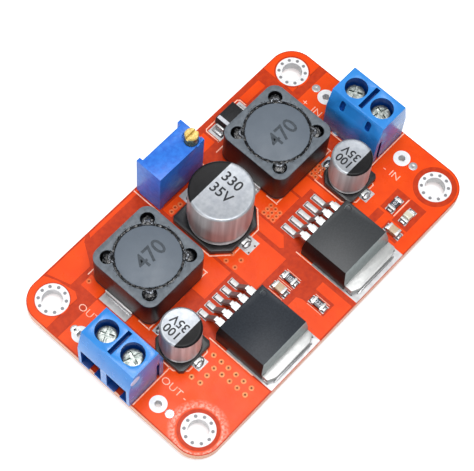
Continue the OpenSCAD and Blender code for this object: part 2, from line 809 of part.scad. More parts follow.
module indicator_base() color("white")
    at_chip(indicator_place) chip_body(indicator_base_height);
module indicator_ends() color(TIN)
    at_chip(indicator_place) chip_ends(indicator_base_height);
module indicator_lens() color([0.95, 0.95, 0.9]) at_chip(indicator_place)
    translate([0, 0, indicator_base_height + chip_skin]) along_y(chip_width) polygon([
        [-0.6, 0], [0.6, 0], [0.5, indicator_lens_height], [-0.5, indicator_lens_height]
    ]);

// ---- Trimmer ----

module at_trimmer() translate([trimmer_x, trimmer_y, seat]) children();
module at_trimmer_screw() translate([trimmer_screw_x, worm_y, 0]) children();
module at_rotor() translate([rotor_x, 0, rotor_z]) children();

module trimmer_housing() color(TRIMMER_BLUE) {
    front = -trimmer_depth / 2;
    back = trimmer_depth / 2 - trimmer_rib_depth;
    foot = 0.9;
    difference() {
        union() {
            translate([-trimmer_length / 2, front, trimmer_feet])
                cube([trimmer_length, back - front, trimmer_height - trimmer_feet]);
            for (side = [-1, 1])
                translate([side * (trimmer_length - trimmer_rib) / 2, 0,
                        (trimmer_height + trimmer_feet) / 2])
                    cube([trimmer_rib, trimmer_depth, trimmer_height - trimmer_feet],
                        center = true);
            for (side = [-1, 1])
                translate([side * (trimmer_length - foot) / 2, (front + back) / 2,
                        (trimmer_feet - pad_thickness) / 2])
                    cube([foot, back - front, trimmer_feet + pad_thickness], center = true);
        }
        translate([trimmer_cavity_left, trimmer_cavity_front, -over])
            cube([trimmer_cavity_right - trimmer_cavity_left,
                trimmer_cavity_back - trimmer_cavity_front, trimmer_ceiling + over]);
        at_trimmer_screw() {
            cylinder(h = 2 * trimmer_height, d = trimmer_head_diameter + 2 * running_clearance);
            translate([0, 0, trimmer_bore_top]) cylinder(h = over, r = trimmer_recess_radius);
        }
    }
    trimmer_bearings();
}

// The rotor's pivot on the front wall, and the shelf that carries the screw's end
module trimmer_bearings() {
    at_rotor() y_cylinder(rotor_bore - running_clearance, trimmer_cavity_front - 0.2,
        worm_y + rotor_width / 2 + 0.1);
    difference() {
        translate([trimmer_screw_x - 0.95, trimmer_cavity_front - 0.2, journal_bottom])
            cube([trimmer_cavity_right - trimmer_screw_x + 1.15,
                element_front - 0.1 - trimmer_cavity_front, journal_height]);
        at_trimmer_screw() cylinder(h = 3 * over, r = journal_radius + running_clearance);
    }
}

// Brass adjusting screw: slotted head, seal groove, single-start worm and end journal
module trimmer_screw() color(BRASS) at_trimmer_screw() {
    head = trimmer_head_diameter / 2;
    top = trimmer_height + trimmer_head_rise;
    neck = worm_radius - thread_swing;
    bevel = 0.15;
    slot_width = 0.5;
    slot_depth = 0.6;
    rotate_extrude() polygon([
        [0, journal_bottom], [journal_radius, journal_bottom], [journal_radius, journal_top],
        [neck, journal_top], [neck, rotor_z - worm_half], [0, rotor_z - worm_half]
    ]);
    worm();
    difference() {
        rotate_extrude() polygon([
            [0, rotor_z + worm_half], [neck, rotor_z + worm_half], [neck, trimmer_ceiling],
            [head, trimmer_ceiling], [head, seal_z - seal_half],
            [seal_groove_radius, seal_z - seal_half], [seal_groove_radius, seal_z + seal_half],
            [head, seal_z + seal_half], [head, top - bevel], [head - bevel, top], [0, top]
        ]);
        translate([-over - head, -slot_width / 2, top - slot_depth])
            cube([2 * (over + head), slot_width, slot_depth + over]);
    }
}

// The thread is an off-centre circle that turns once for each tooth of the rotor
module worm() {
    height = 2 * worm_half;
    turns = height / worm_lead;
    translate([0, 0, rotor_z - worm_half]) rotate(180 - 180 * turns)
        linear_extrude(height, twist = -360 * turns, slices = round(worm_slices * turns),
            $fn = 16) translate([thread_swing, 0]) circle(worm_radius);
}

module trimmer_screw_seal() color([0.1, 0.1, 0.1]) at_trimmer_screw()
    translate([0, 0, seal_z]) rotate_extrude()
        translate([(seal_groove_radius + trimmer_head_diameter / 2 + running_clearance) / 2, 0])
            circle(r = 0.19, $fn = 24);

// Worm wheel: its tooth wave matches the worm's, with a gap of the worm at the mesh
module trimmer_rotor() color([0.85, 0.85, 0.8]) at_rotor() {
    points = 8 * rotor_teeth;
    difference() {
        translate([0, worm_y, 0]) along_y(rotor_width) polygon([
            for (i = [0 : points - 1])
                let (angle = 360 * i / points)
                (rotor_radius - thread_swing * cos(rotor_teeth * angle))
                    * [cos(angle), sin(angle)]
        ]);
        y_cylinder(rotor_bore, -trimmer_depth, trimmer_depth);
    }
}

// Spring contact on the rotor's back: a ring, an arm and a raised contact point
module trimmer_wiper() color(BRASS) at_rotor() {
    back = worm_y + rotor_width / 2;
    thickness = 0.15;
    reach = 2.1;
    difference() {
        union() {
            y_cylinder(1.3, back, back + thickness);
            translate([-0.35, back, 0]) cube([0.7, thickness, reach]);
            translate([0, 0, reach - 0.35])
                y_cylinder(0.3, back, element_front - sliding_clearance / 2);
        }
        y_cylinder(rotor_bore + 0.15, -trimmer_depth, trimmer_depth);
    }
}

// Ceramic plate that carries the resistance track
module trimmer_element() color([0.93, 0.92, 0.88])
    translate([trimmer_cavity_left, element_front, trimmer_feet + base_seal_height])
        cube([trimmer_screw_x + 0.6 - trimmer_cavity_left, element_thickness,
            trimmer_ceiling - trimmer_feet - base_seal_height - seat_clearance]);

module trimmer_pins() color(TIN)
    for (i = [-1 : 1]) translate([i * trimmer_pin_pitch, trimmer_pin_y, -seat - pin_drop])
        cylinder(h = seat + pin_drop + 3, r = trimmer_pin_radius);

module trimmer_base_seal() color([0.75, 0.7, 0.5]) difference() {
    translate([trimmer_cavity_left, trimmer_cavity_front, trimmer_feet])
        cube([trimmer_cavity_right - trimmer_cavity_left,
            trimmer_cavity_back - trimmer_cavity_front, base_seal_height]);
    for (i = [-1 : 1]) translate([i * trimmer_pin_pitch, trimmer_pin_y, 0])
        cylinder(h = 2 * over, r = trimmer_pin_radius + seat_clearance);
}

// ---- Nodes ----

circuit_board();
mounting_hole_plating();
wire_hole_plating();
pin_hole_plating();
solder_pads();
pin_solder();
at_output() terminal_housing();  // output_terminal_housing
at_input() terminal_housing();  // input_terminal_housing
output_pole(1) terminal_screw();  // output_back_screw
output_pole(-1) terminal_screw();  // output_front_screw
input_pole(1) terminal_screw();  // input_back_screw
input_pole(-1) terminal_screw();  // input_front_screw
output_pole(1) terminal_clamp();  // output_back_clamp
output_pole(-1) terminal_clamp();  // output_front_clamp
input_pole(1) terminal_clamp();  // input_back_clamp
input_pole(-1) terminal_clamp();  // input_front_clamp
at_output() terminal_contacts();  // output_terminal_contacts
at_input() terminal_contacts();  // input_terminal_contacts
at_inductor(output_inductor_x) inductor_shield();  // output_inductor_shield
at_inductor(output_inductor_x) inductor_drum();  // output_inductor_drum
at_inductor(output_inductor_x) inductor_winding();  // output_inductor_winding
at_inductor(output_inductor_x) inductor_base();  // output_inductor_base
at_inductor(output_inductor_x) inductor_tabs();  // output_inductor_tabs
at_inductor(input_inductor_x) inductor_shield();  // input_inductor_shield
at_inductor(input_inductor_x) inductor_drum();  // input_inductor_drum
at_inductor(input_inductor_x) inductor_winding();  // input_inductor_winding
at_inductor(input_inductor_x) inductor_base();  // input_inductor_base
at_inductor(input_inductor_x) inductor_tabs();  // input_inductor_tabs
at_main() can(main_can_diameter, main_can_height);  // main_capacitor_can
at_main() can_base(main_can_diameter);  // main_capacitor_base
at_main() can_leads(main_can_diameter);  // main_capacitor_leads
at_small(output_capacitor_x) can(small_can_diameter, small_can_height);  // output_capacitor_can
at_small(output_capacitor_x) can_base(small_can_diameter);  // output_capacitor_base
at_small(output_capacitor_x) can_leads(small_can_diameter);  // output_capacitor_leads
at_small(input_capacitor_x) can(small_can_diameter, small_can_height);  // input_capacitor_can
at_small(input_capacitor_x) can_base(small_can_diameter);  // input_capacitor_base
at_small(input_capacitor_x) can_leads(small_can_diameter);  // input_capacitor_leads
at_regulator(step_down_x) regulator_body(step_down_length, 0.3);  // step_down_regulator_body
at_regulator(step_down_x) regulator_frame(step_down_length, step_down_tab, step_down_lead);  // step_down_regulator_frame
at_regulator(step_up_x) regulator_body(step_up_length, 0.6);  // step_up_regulator_body
at_regulator(step_up_x) regulator_frame(step_up_length, step_up_tab, step_up_lead);  // step_up_regulator_frame
at_rectifier() rectifier_body();
at_rectifier() rectifier_leads();
chip_resistor_bodies();
chip_resistor_ends();
chip_capacitor_bodies();
chip_capacitor_ends();
indicator_base();
indicator_lens();
indicator_ends();
at_trimmer() trimmer_housing();
at_trimmer() trimmer_screw();
at_trimmer() trimmer_screw_seal();
at_trimmer() trimmer_rotor();
at_trimmer() trimmer_wiper();
at_trimmer() trimmer_element();
at_trimmer() trimmer_pins();
at_trimmer() trimmer_base_seal();
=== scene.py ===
"""Buck converter module: finishes, small pieces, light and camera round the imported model."""
import json
import math

import bmesh
import bpy
from mathutils import Matrix, Vector


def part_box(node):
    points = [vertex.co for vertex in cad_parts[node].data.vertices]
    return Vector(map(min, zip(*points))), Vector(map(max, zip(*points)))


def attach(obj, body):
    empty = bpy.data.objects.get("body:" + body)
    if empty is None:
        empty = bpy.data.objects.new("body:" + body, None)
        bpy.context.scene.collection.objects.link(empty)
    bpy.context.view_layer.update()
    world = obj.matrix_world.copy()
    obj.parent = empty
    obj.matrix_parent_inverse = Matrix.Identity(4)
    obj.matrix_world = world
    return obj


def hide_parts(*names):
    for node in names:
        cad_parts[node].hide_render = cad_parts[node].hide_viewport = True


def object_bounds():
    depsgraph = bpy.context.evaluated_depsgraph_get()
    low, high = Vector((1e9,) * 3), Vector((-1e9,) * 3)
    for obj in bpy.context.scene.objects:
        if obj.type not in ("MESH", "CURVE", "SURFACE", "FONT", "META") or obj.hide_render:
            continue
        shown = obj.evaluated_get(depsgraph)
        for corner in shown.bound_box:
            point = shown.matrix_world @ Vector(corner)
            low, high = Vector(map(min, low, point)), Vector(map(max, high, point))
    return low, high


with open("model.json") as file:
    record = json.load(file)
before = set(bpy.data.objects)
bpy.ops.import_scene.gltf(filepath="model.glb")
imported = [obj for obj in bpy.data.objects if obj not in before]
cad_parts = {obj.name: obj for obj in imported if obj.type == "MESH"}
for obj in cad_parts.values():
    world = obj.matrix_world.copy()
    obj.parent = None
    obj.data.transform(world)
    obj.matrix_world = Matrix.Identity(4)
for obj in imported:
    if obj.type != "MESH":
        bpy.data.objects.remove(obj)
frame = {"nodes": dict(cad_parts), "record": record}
cad_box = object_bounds()

MM = 0.001
MODULE = "module"


def corners(node):
    """Lowest and highest corner of a CAD node, in mm."""
    return [Vector(corner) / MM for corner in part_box(node)]


def middle(node):
    """Where a CAD node's middle lies on the board, in mm."""
    low, high = corners(node)
    return (low.x + high.x) / 2, (low.y + high.y) / 2


# heights and widths in mm
BOARD_TOP = corners("circuit_board")[1].z
PAD_TOP = corners("solder_pads")[1].z
COPPER_TOP = BOARD_TOP + 0.03
INK_TOP = COPPER_TOP + 0.015
SUNK = 0.02      # how far solder reaches into its pad
LINE = 0.18      # a printed line's width
CAPITAL = 0.73   # a capital's height, as a share of the letter size
# centre of the ring of painted highlight specks round one mounting hole, in mm
GLARE_RING_CENTRE = [side + 3.9 for side in corners("circuit_board")[0].xy]


# ---- Camera, light and floor ----

def place_camera():
    """A long lens above the output corner, turned a little on its axis."""
    azimuth, elevation, roll = (math.radians(a) for a in (-53.60, 65.33, 6.46))
    target = Vector((-0.286, 1.909, 1.6)) * MM
    distance = 257.69 * MM
    back = Vector((math.sin(azimuth) * math.cos(elevation),
                   -math.cos(azimuth) * math.cos(elevation), math.sin(elevation)))
    right = Vector((math.cos(azimuth), math.sin(azimuth), 0))
    up = back.cross(right)
    across = math.cos(roll) * right + math.sin(roll) * up
    upward = -math.sin(roll) * right + math.cos(roll) * up
    bpy.ops.object.camera_add()
    camera = bpy.context.object
    camera.matrix_world = Matrix.Translation(target + back * distance) @ Matrix(
        (across, upward, back)).transposed().to_4x4()
    camera.data.lens = 129.26
    camera.data.sensor_width = 36
    camera.data.clip_start = 0.01
    camera.data.clip_end = 10
    bpy.context.scene.camera = camera


def light(name, place, size, power, aim=(0, 0, 0)):
    """A soft square lamp that faces a point on the board."""
    bpy.ops.object.light_add(type="AREA", location=place)
    lamp = bpy.context.object
    lamp.name = name
    lamp.data.size = size
    lamp.data.energy = power
    lamp.rotation_euler = (Vector(place) - Vector(aim)).to_track_quat("Z", "Y").to_euler()


def shown_rays(tree):
    """1 for rays that draw the backdrop: straight, mirrored or seen through glass."""
    paths = tree.nodes.new("ShaderNodeLightPath")
    total = paths.outputs["Is Camera Ray"]
    for name in ("Is Glossy Ray", "Is Transmission Ray"):
        add = tree.nodes.new("ShaderNodeMath")
        add.operation = "MAXIMUM"
        tree.links.new(total, add.inputs[0])
        tree.links.new(paths.outputs[name], add.inputs[1])
        total = add.outputs[0]
    return total


def light_the_room():
    """A white room, a large lamp above, a key at the output side, and two small lamps."""
    world = bpy.data.worlds.new("room")
    bpy.context.scene.world = world
    world.use_nodes = True
    tree = world.node_tree
    sky = tree.nodes["Background"]
    sky.inputs["Color"].default_value = (1, 1, 1, 1)
    strength = tree.nodes.new("ShaderNodeMapRange")
    strength.inputs["To Min"].default_value = 0.24
    strength.inputs["To Max"].default_value = 1.0
    tree.links.new(shown_rays(tree), strength.inputs["Value"])
    tree.links.new(strength.outputs["Result"], sky.inputs["Strength"])
    light("overhead", (0.00, 0.03, 0.60), 0.40, 1.3)
    light("key", (-0.06, -0.13, 0.50), 0.28, 1.75)
    light("fill", (-0.26, 0.02, 0.07), 0.12, 0.22)
    light("glint", (0.078, 0.055, 0.40), 0.08, 0.22, (-0.027, -0.015, 0))

    bpy.ops.mesh.primitive_plane_add(size=3, location=(0, 0, cad_box[0].z))
    floor = bpy.context.object
    floor.name = "floor"
    paper = Finish("floor_paper", (0.82, 0.82, 0.82), 0.9, 0.1)
    paper.shader.inputs["Emission Color"].default_value = (1, 1, 1, 1)
    paper.link(paper.reckon("MULTIPLY", shown_rays(paper.tree), 0.45),
               paper.shader.inputs["Emission Strength"])
    floor.data.materials.append(paper.material)


# ---- Finishes ----

def linear(colour):
    """A colour as linear light: whole numbers are a screen colour of 0 to 255."""
    def channel(value):
        value /= 255
        return value / 12.92 if value <= 0.04045 else ((value + 0.055) / 1.055) ** 2.4
    if isinstance(colour[0], float):
        return colour
    return tuple(channel(value) for value in colour)


class Finish:
    """A material in the making, and short ways to add its nodes."""

    def __init__(self, name, colour, roughness, shine=0.5, **sockets):
        self.material = bpy.data.materials.new(name)
        self.material.use_nodes = True
        self.tree = self.material.node_tree
        self.shader = self.tree.nodes["Principled BSDF"]
        self.shader.inputs["Base Color"].default_value = (*linear(colour), 1)
        self.shader.inputs["Roughness"].default_value = roughness
        self.shader.inputs["Specular IOR Level"].default_value = shine
        for socket, value in sockets.items():
            self.shader.inputs[socket.replace("_", " ")].default_value = value
        self.colour = colour
        self.place = None

    def add(self, kind, **settings):
        node = self.tree.nodes.new("ShaderNode" + kind)
        for key, value in settings.items():
            setattr(node, key, value)
        return node

    def link(self, source, target):
        self.tree.links.new(source, target)

    def where(self):
        if self.place is None:
            self.place = self.add("TexCoord").outputs["Object"]
        return self.place

    def stretched(self, scale=(1, 1, 1), centre=(0, 0, 0)):
        """Object coordinates moved to a centre in mm and scaled along each axis."""
        mapping = self.add("Mapping")
        mapping.inputs["Scale"].default_value = scale
        mapping.inputs["Location"].default_value = [
            -c * MM * s for c, s in zip(centre, scale)]
        self.link(self.where(), mapping.inputs["Vector"])
        return mapping.outputs["Vector"]

    def noise(self, size, detail=3, vector=None):
        """Cloudy noise whose spots are about size mm wide."""
        node = self.add("TexNoise")
        node.inputs["Scale"].default_value = 1 / (size * MM)
        node.inputs["Detail"].default_value = detail
        node.inputs["Roughness"].default_value = 0.55
        self.link(vector or self.where(), node.inputs["Vector"])
        return node.outputs["Fac"]

    def ramp(self, source, low, high, low_value=0.0, high_value=1.0):
        node = self.add("MapRange")
        for name, value in (("From Min", low), ("From Max", high),
                            ("To Min", low_value), ("To Max", high_value)):
            node.inputs[name].default_value = value
        self.link(source, node.inputs["Value"])
        return node.outputs["Result"]

    def climb(self, low, high):
        """Rises from 0 to 1 between two heights over the board's underside, in mm."""
        split = self.add("SeparateXYZ")
        self.link(self.where(), split.inputs[0])
        return self.ramp(split.outputs["Z"], low * MM, high * MM)

    def reach(self, centre):
        """Distance from an upright axis, in metres."""
        flat = self.add("VectorMath", operation="LENGTH")
        self.link(self.stretched((1, 1, 0), (*centre, 0)), flat.inputs[0])
        return flat.outputs["Value"]

    def reckon(self, operation, first, second):
        """Works an output and a second output or a number into one value."""
        node = self.add("Math", operation=operation)
        self.link(first, node.inputs[0])
        if isinstance(second, float):
            node.inputs[1].default_value = second
        else:
            self.link(second, node.inputs[1])
        return node.outputs[0]

    def mix(self, factor, first, second):
        node = self.add("Mix", data_type="RGBA")
        for socket, value in ((node.inputs[6], first), (node.inputs[7], second)):
            if isinstance(value, tuple):
                socket.default_value = (*linear(value), 1)
            else:
                self.link(value, socket)
        self.link(factor, node.inputs[0])
        return node.outputs[2]

    def paint(self, source):
        self.link(source, self.shader.inputs["Base Color"])
        return self

    def cloud(self, size, detail=3):
        """Noise that lies mostly at 0 or 1, with soft edges between."""
        return self.ramp(self.noise(size, detail), 0.35, 0.7)

    def mottle(self, size, other, detail=3):
        """The base colour drifts towards another one."""
        return self.paint(self.mix(self.cloud(size, detail), self.colour, other))

    def wear(self, size, low, high, detail=4):
        """Roughness varies between two values."""
        self.link(self.ramp(self.noise(size, detail), 0.3, 0.7, low, high),
                  self.shader.inputs["Roughness"])
        return self

    def grain(self, size, depth, detail=3, source=None):
        """Relief of a depth in mm."""
        bump = self.add("Bump")
        bump.inputs["Distance"].default_value = depth * MM
        self.link(source or self.noise(size, detail), bump.inputs["Height"])
        self.link(bump.outputs["Normal"], self.shader.inputs["Normal"])
        return self


finishes = {}


def keep(name, colour, roughness, shine=0.5, **sockets):
    """A finish that is kept by its name."""
    finish = Finish(name, colour, roughness, shine, **sockets)
    finishes[name] = finish.material
    return finish


def solder_mask():
    """Mask over bare laminate on the faces of the board, and its sawn edge."""
    laminate = ((190, 56, 16), (172, 46, 14))
    mask = keep("solder_mask", laminate[0], 0.3, 0.13)
    edge = mask.mix(mask.ramp(mask.noise(0.25), 0.35, 0.65),
                    (226, 176, 150), (204, 142, 112))
    face = mask.mix(mask.cloud(0.7, 2), *laminate)
    faces = mask.reckon("MAXIMUM", mask.climb(BOARD_TOP - 0.0005, BOARD_TOP - 0.0004),
                        mask.climb(0.0002, 0.00015))
    mask.paint(mask.mix(faces, edge, face))
    mask.wear(3, 0.3, 0.42).grain(0.5, 0.006)
    keep("bare_laminate", laminate[0], 0.3, 0.13) \
        .mottle(0.7, laminate[1]).wear(3, 0.3, 0.42).grain(0.5, 0.006)


def mask_over_copper():
    """Brighter mask over copper, with pale specks in a ring round one mounting hole: a painted
    highlight of glare on the glossy mask.
    """
    copper = keep("mask_over_copper", (232, 74, 15), 0.25, 0.13)
    reach = copper.reach(GLARE_RING_CENTRE)
    near = copper.reckon("MULTIPLY", copper.ramp(reach, 3.3 * MM, 3.5 * MM),
                         copper.ramp(reach, 4.7 * MM, 3.7 * MM))
    # pale specks in that ring: painted highlight
    glare_specks = copper.reckon("MULTIPLY", near,
                           copper.ramp(copper.noise(0.4, 5), 0.42, 0.6, 0.1, 0.6))
    plain = copper.mix(copper.cloud(2.5), copper.colour, (224, 66, 13))
    copper.paint(copper.mix(glare_specks, plain, (250, 196, 180)))
    copper.wear(4, 0.22, 0.34).grain(1.2, 0.004)


def print_finishes():
    """Vias under the mask, and printing ink."""
    keep("via_mask", (226, 158, 104), 0.35, 0.2).mottle(0.3, (224, 118, 66)).grain(0.3, 0.01)
    keep("faint_via_mask", (226, 96, 44), 0.35, 0.2).mottle(0.3, (222, 120, 70)).grain(0.3, 0.01)
    keep("faint_via_hole", (150, 62, 30), 0.6, 0.2).mottle(0.1, (110, 40, 20))
    keep("via_hole", (120, 62, 34), 0.6, 0.2).mottle(0.1, (74, 34, 18))
    keep("ink", (250, 204, 184), 0.5, 0.2).mottle(0.35, (244, 158, 128)).grain(0.15, 0.01)


def metal_finishes():
    """Tin, solder, steel and brass."""
    keep("tinned_copper", (0.37, 0.37, 0.375), 0.42, Metallic=0.75) \
        .mottle(1.2, (0.29, 0.29, 0.30)).wear(0.8, 0.32, 0.5).grain(0.9, 0.01)
    keep("via_tin", (0.20, 0.20, 0.21), 0.5, Metallic=0.5) \
        .mottle(0.2, (0.12, 0.12, 0.13)).grain(0.15, 0.01)
    # Pale and not metallic, so the shaded walls of the plated holes come out light: painted light over
    # the tin plating.
    keep("bore_tin", (0.82, 0.82, 0.82), 0.5).mottle(0.6, (0.7, 0.7, 0.71)).grain(0.3, 0.01)
    keep("solder", (0.34, 0.34, 0.345), 0.28, Metallic=0.9) \
        .mottle(0.5, (0.26, 0.26, 0.265)).wear(0.5, 0.2, 0.4).grain(0.4, 0.02)
    keep("tinned_leads", (0.47, 0.475, 0.47), 0.42, Metallic=0.85) \
        .mottle(0.6, (0.38, 0.385, 0.385)).wear(0.5, 0.34, 0.5).grain(0.25, 0.006)
    keep("tab_tin", (0.37, 0.375, 0.37), 0.46, Metallic=0.8) \
        .mottle(0.9, (0.32, 0.325, 0.325)).wear(0.5, 0.4, 0.52).grain(0.3, 0.006)
    keep("plate_tin", (0.62, 0.62, 0.62), 0.45, Metallic=0.7) \
        .mottle(0.8, (0.5, 0.5, 0.5)).wear(0.5, 0.38, 0.5).grain(0.4, 0.006)
    keep("screw_steel", (0.36, 0.38, 0.365), 0.34, Metallic=1.0) \
        .mottle(0.4, (0.12, 0.15, 0.14), 4).wear(0.3, 0.28, 0.5).grain(0.35, 0.04, 4)
    keep("clamp_steel", (0.66, 0.67, 0.69), 0.35, Metallic=1.0) \
        .mottle(0.6, (0.5, 0.51, 0.53)).wear(0.4, 0.28, 0.5).grain(0.2, 0.01)
    keep("brass", (200, 178, 112), 0.3, Metallic=1.0) \
        .mottle(0.5, (164, 138, 76)).wear(0.4, 0.22, 0.42).grain(0.2, 0.01)


def housing_finishes():
    """Plastics, rubber and resin of the terminals and the trimmer."""
    keep("terminal_plastic", (44, 132, 210), 0.22, 0.36) \
        .mottle(2.5, (36, 122, 202)).wear(1.5, 0.18, 0.3).grain(0.6, 0.004)
    # Darker navy blue for faces deep inside the terminal housings: painted shade in their wells,
    # grooves and mouths.
    keep("terminal_recess_painted_shade", (8, 62, 138), 0.3, 0.2) \
        .mottle(1.2, (5, 48, 116)).wear(1.5, 0.26, 0.4).grain(0.6, 0.006)
    # A pale lilac finish for the disc on each terminal's side wall: a painted reflection on the glossy
    # blue plastic.
    keep("pale_painted_reflection", (206, 206, 236), 0.3).mottle(0.5, (176, 182, 228)).grain(0.3, 0.01)
    keep("trimmer_plastic", (38, 116, 214), 0.34, 0.4) \
        .mottle(0.7, (24, 94, 196)).wear(1.2, 0.3, 0.46).grain(0.35, 0.03)
    keep("seal_rubber", (28, 28, 28), 0.7).mottle(0.2, (40, 40, 40)).grain(0.1, 0.01)
    keep("rotor_plastic", (228, 224, 208), 0.45).mottle(0.6, (214, 208, 190)).grain(0.2, 0.006)
    keep("element_ceramic", (240, 238, 230), 0.5).mottle(0.5, (226, 224, 214)).grain(0.15, 0.005)
    keep("sealing_resin", (196, 176, 116), 0.25).mottle(0.8, (176, 152, 96)).grain(0.5, 0.02)


def inductor_finishes():
    """Ferrite that is pale on top and dark on its walls, glue and wire."""
    shield_top = corners("output_inductor_shield")[1].z
    ferrite = keep("ferrite", (90, 98, 106), 0.2, 0.32)
    ground = ferrite.climb(shield_top - 0.22, shield_top - 0.04)
    cloud = ferrite.ramp(ferrite.noise(0.8, 4), 0.3, 0.7)
    ferrite.paint(ferrite.mix(ground,
                              ferrite.mix(cloud, (16, 14, 17), (8, 7, 9)),
                              ferrite.mix(cloud, (100, 108, 116), (78, 85, 92))))
    ferrite.link(ferrite.ramp(ground, 0, 1, 0.36, 0.42), ferrite.shader.inputs["Roughness"])
    ferrite.grain(0.3, 0.03)
    keep("drum_ferrite", (94, 103, 113), 0.5, 0.35) \
        .mottle(2, (90, 99, 109)).wear(1.5, 0.42, 0.6).grain(0.25, 0.01)
    keep("coil_glue", (22, 24, 28), 0.14, Coat_Weight=0.3).mottle(0.45, (10, 11, 13)).grain(0.35, 0.16)
    keep("glued_wire", (120, 124, 130), 0.16, Metallic=0.7).mottle(0.3, (58, 60, 66)).grain(0.3, 0.1)
    keep("enamelled_wire", (160, 84, 40), 0.25, Metallic=0.6) \
        .mottle(0.6, (120, 58, 28)).grain(0.3, 0.01)
    keep("relief_ink", (68, 75, 82), 0.5, 0.2).mottle(0.3, (50, 56, 62)).grain(0.15, 0.01)


def part_finishes():
    """Black mouldings, chip parts and their marks."""
    keep("black_base", (26, 27, 28), 0.35, 0.35).mottle(0.8, (36, 36, 38)).grain(0.2, 0.01)
    keep("step_down_moulding", (28, 33, 40), 0.4, 0.2).mottle(0.25, (38, 43, 50), 4).grain(0.14, 0.008)
    keep("step_up_moulding", (34, 37, 40), 0.4, 0.35).mottle(0.25, (44, 47, 50), 4).grain(0.14, 0.008)
    # Pale grey for the regulators' sloping faces towards -Y: a painted glare on the black moulding.
    keep("moulding_painted_glare", (136, 146, 146), 0.3, 0.3).mottle(0.5, (118, 127, 128)).grain(0.14, 0.006)
    keep("moulding_shade", (14, 10, 11), 0.45, 0.18).mottle(0.5, (20, 14, 14)).grain(0.14, 0.006)
    keep("rectifier_moulding", (12, 13, 15), 0.45, 0.2).mottle(0.3, (26, 27, 30), 4).grain(0.14, 0.01)
    keep("pale_mark", (206, 210, 216), 0.5).mottle(0.2, (182, 186, 194)).grain(0.1, 0.004)
    keep("resistor_glaze", (30, 32, 40), 0.25).mottle(0.3, (42, 44, 54)).grain(0.3, 0.01)
    keep("capacitor_ceramic", (190, 166, 138), 0.4).mottle(0.3, (172, 148, 120)).grain(0.2, 0.008)
    keep("indicator_white", (232, 230, 222), 0.45).mottle(0.4, (218, 216, 208)).grain(0.2, 0.005)
    keep("indicator_resin", (244, 240, 220), 0.15, Transmission_Weight=0.3, IOR=1.5) \
        .mottle(0.5, (236, 228, 198)).grain(0.4, 0.004)
    keep("can_ink", (24, 25, 29), 0.4, 0.2) \
        .mottle(0.4, (34, 35, 40)).wear(0.5, 0.3, 0.5).grain(0.2, 0.004)


def brushed_can(name, centre, top, mark_side, chord):
    """Aluminium: ringed top, duller wall, and a printed mark beyond a chord."""
    finish = Finish(name, (0.6, 0.6, 0.63), 0.3, 0.15)
    centred = finish.stretched((1, 1, 1), (*centre, 0))
    cross = finish.add("CombineXYZ")
    finish.link(finish.reach(centre), cross.inputs[0])
    rings = finish.noise(0.06, 2, cross.outputs[0])
    cloud = finish.cloud(0.9)
    streaks = finish.ramp(finish.noise(0.8, 2, finish.stretched((1, 1, 0.04))), 0.35, 0.65)
    crown = finish.climb(top - 0.3, top - 0.05)
    metal = finish.mix(crown, finish.mix(streaks, (0.58, 0.56, 0.57), (0.40, 0.38, 0.39)),
                       finish.mix(cloud, (0.29, 0.305, 0.325), (0.22, 0.235, 0.26)))
    split = finish.add("SeparateXYZ")
    finish.link(centred, split.inputs[0])
    beyond = finish.ramp(split.outputs["Y"], mark_side * chord * MM,
                         mark_side * (chord + 0.02) * MM)
    printed = finish.reckon("MULTIPLY", beyond, finish.climb(top - 0.36, top - 0.33))
    ink = finish.mix(cloud, (4, 4, 6), (12, 12, 14))
    finish.paint(finish.mix(printed, metal, ink))
    bare = finish.reckon("SUBTRACT", finish.ramp(crown, 0, 1, 0.3, 0.7), printed)
    finish.link(finish.ramp(bare, 0, 1), finish.shader.inputs["Metallic"])
    finish.link(finish.ramp(rings, 0.3, 0.7, 0.28, 0.44), finish.shader.inputs["Roughness"])
    return finish.grain(0.06, 0.0015, source=rings).material


# ---- Ways of shaping ----

def choose(*pieces):
    """Only these pieces are selected, the last one active."""
    bpy.ops.object.select_all(action="DESELECT")
    for piece in pieces:
        piece.select_set(True)
        bpy.context.view_layer.objects.active = piece


def edit(piece, *steps):
    """Runs each step in edit mode; a step is called with the piece's edit mesh."""
    choose(piece)
    bpy.ops.object.mode_set(mode="EDIT")
    for step in steps:
        step(bmesh.from_edit_mesh(piece.data))
    bpy.ops.object.mode_set(mode="OBJECT")


def pick(mesh, faces=None, points=None):
    """Selects the faces or the points for which a test holds."""
    mesh.select_mode = {"FACE" if faces else "VERT"}
    bpy.context.tool_settings.mesh_select_mode = (not faces, False, bool(faces))
    for part in (*mesh.faces, *mesh.edges, *mesh.verts):
        part.select = False
    for part in mesh.faces if faces else mesh.verts:
        if (faces or points)(part):
            part.select_set(True)
    mesh.select_flush_mode()


def modify(piece, kind, **settings):
    choose(piece)
    modifier = piece.modifiers.new(kind.lower(), kind)
    for key, value in settings.items():
        setattr(modifier, key, value)
    bpy.ops.object.modifier_apply(modifier=modifier.name)


def merge(*pieces):
    """Joins pieces into the last one."""
    choose(*pieces)
    bpy.ops.object.join()
    return bpy.context.object


def weld(mesh):
    """Merges doubled points and turns the faces outwards, in edit mode."""
    bpy.ops.mesh.select_all(action="SELECT")
    bpy.ops.mesh.remove_doubles(threshold=1e-7)
    bpy.ops.mesh.normals_make_consistent(inside=False)


def settle(piece):
    """Brings a piece's place, turn and size into its mesh."""
    choose(piece)
    bpy.ops.object.transform_apply(location=True, rotation=True, scale=True)


def added(name, data):
    """A new object in the scene that holds a mesh or a curve."""
    piece = bpy.data.objects.new(name, data)
    bpy.context.scene.collection.objects.link(piece)
    return piece


def meshed(drawing):
    """Turns letters or a curve into a clean mesh, with its place applied."""
    choose(drawing)
    bpy.ops.object.convert(target="MESH")
    piece = bpy.context.object
    settle(piece)
    edit(piece, weld)
    return piece


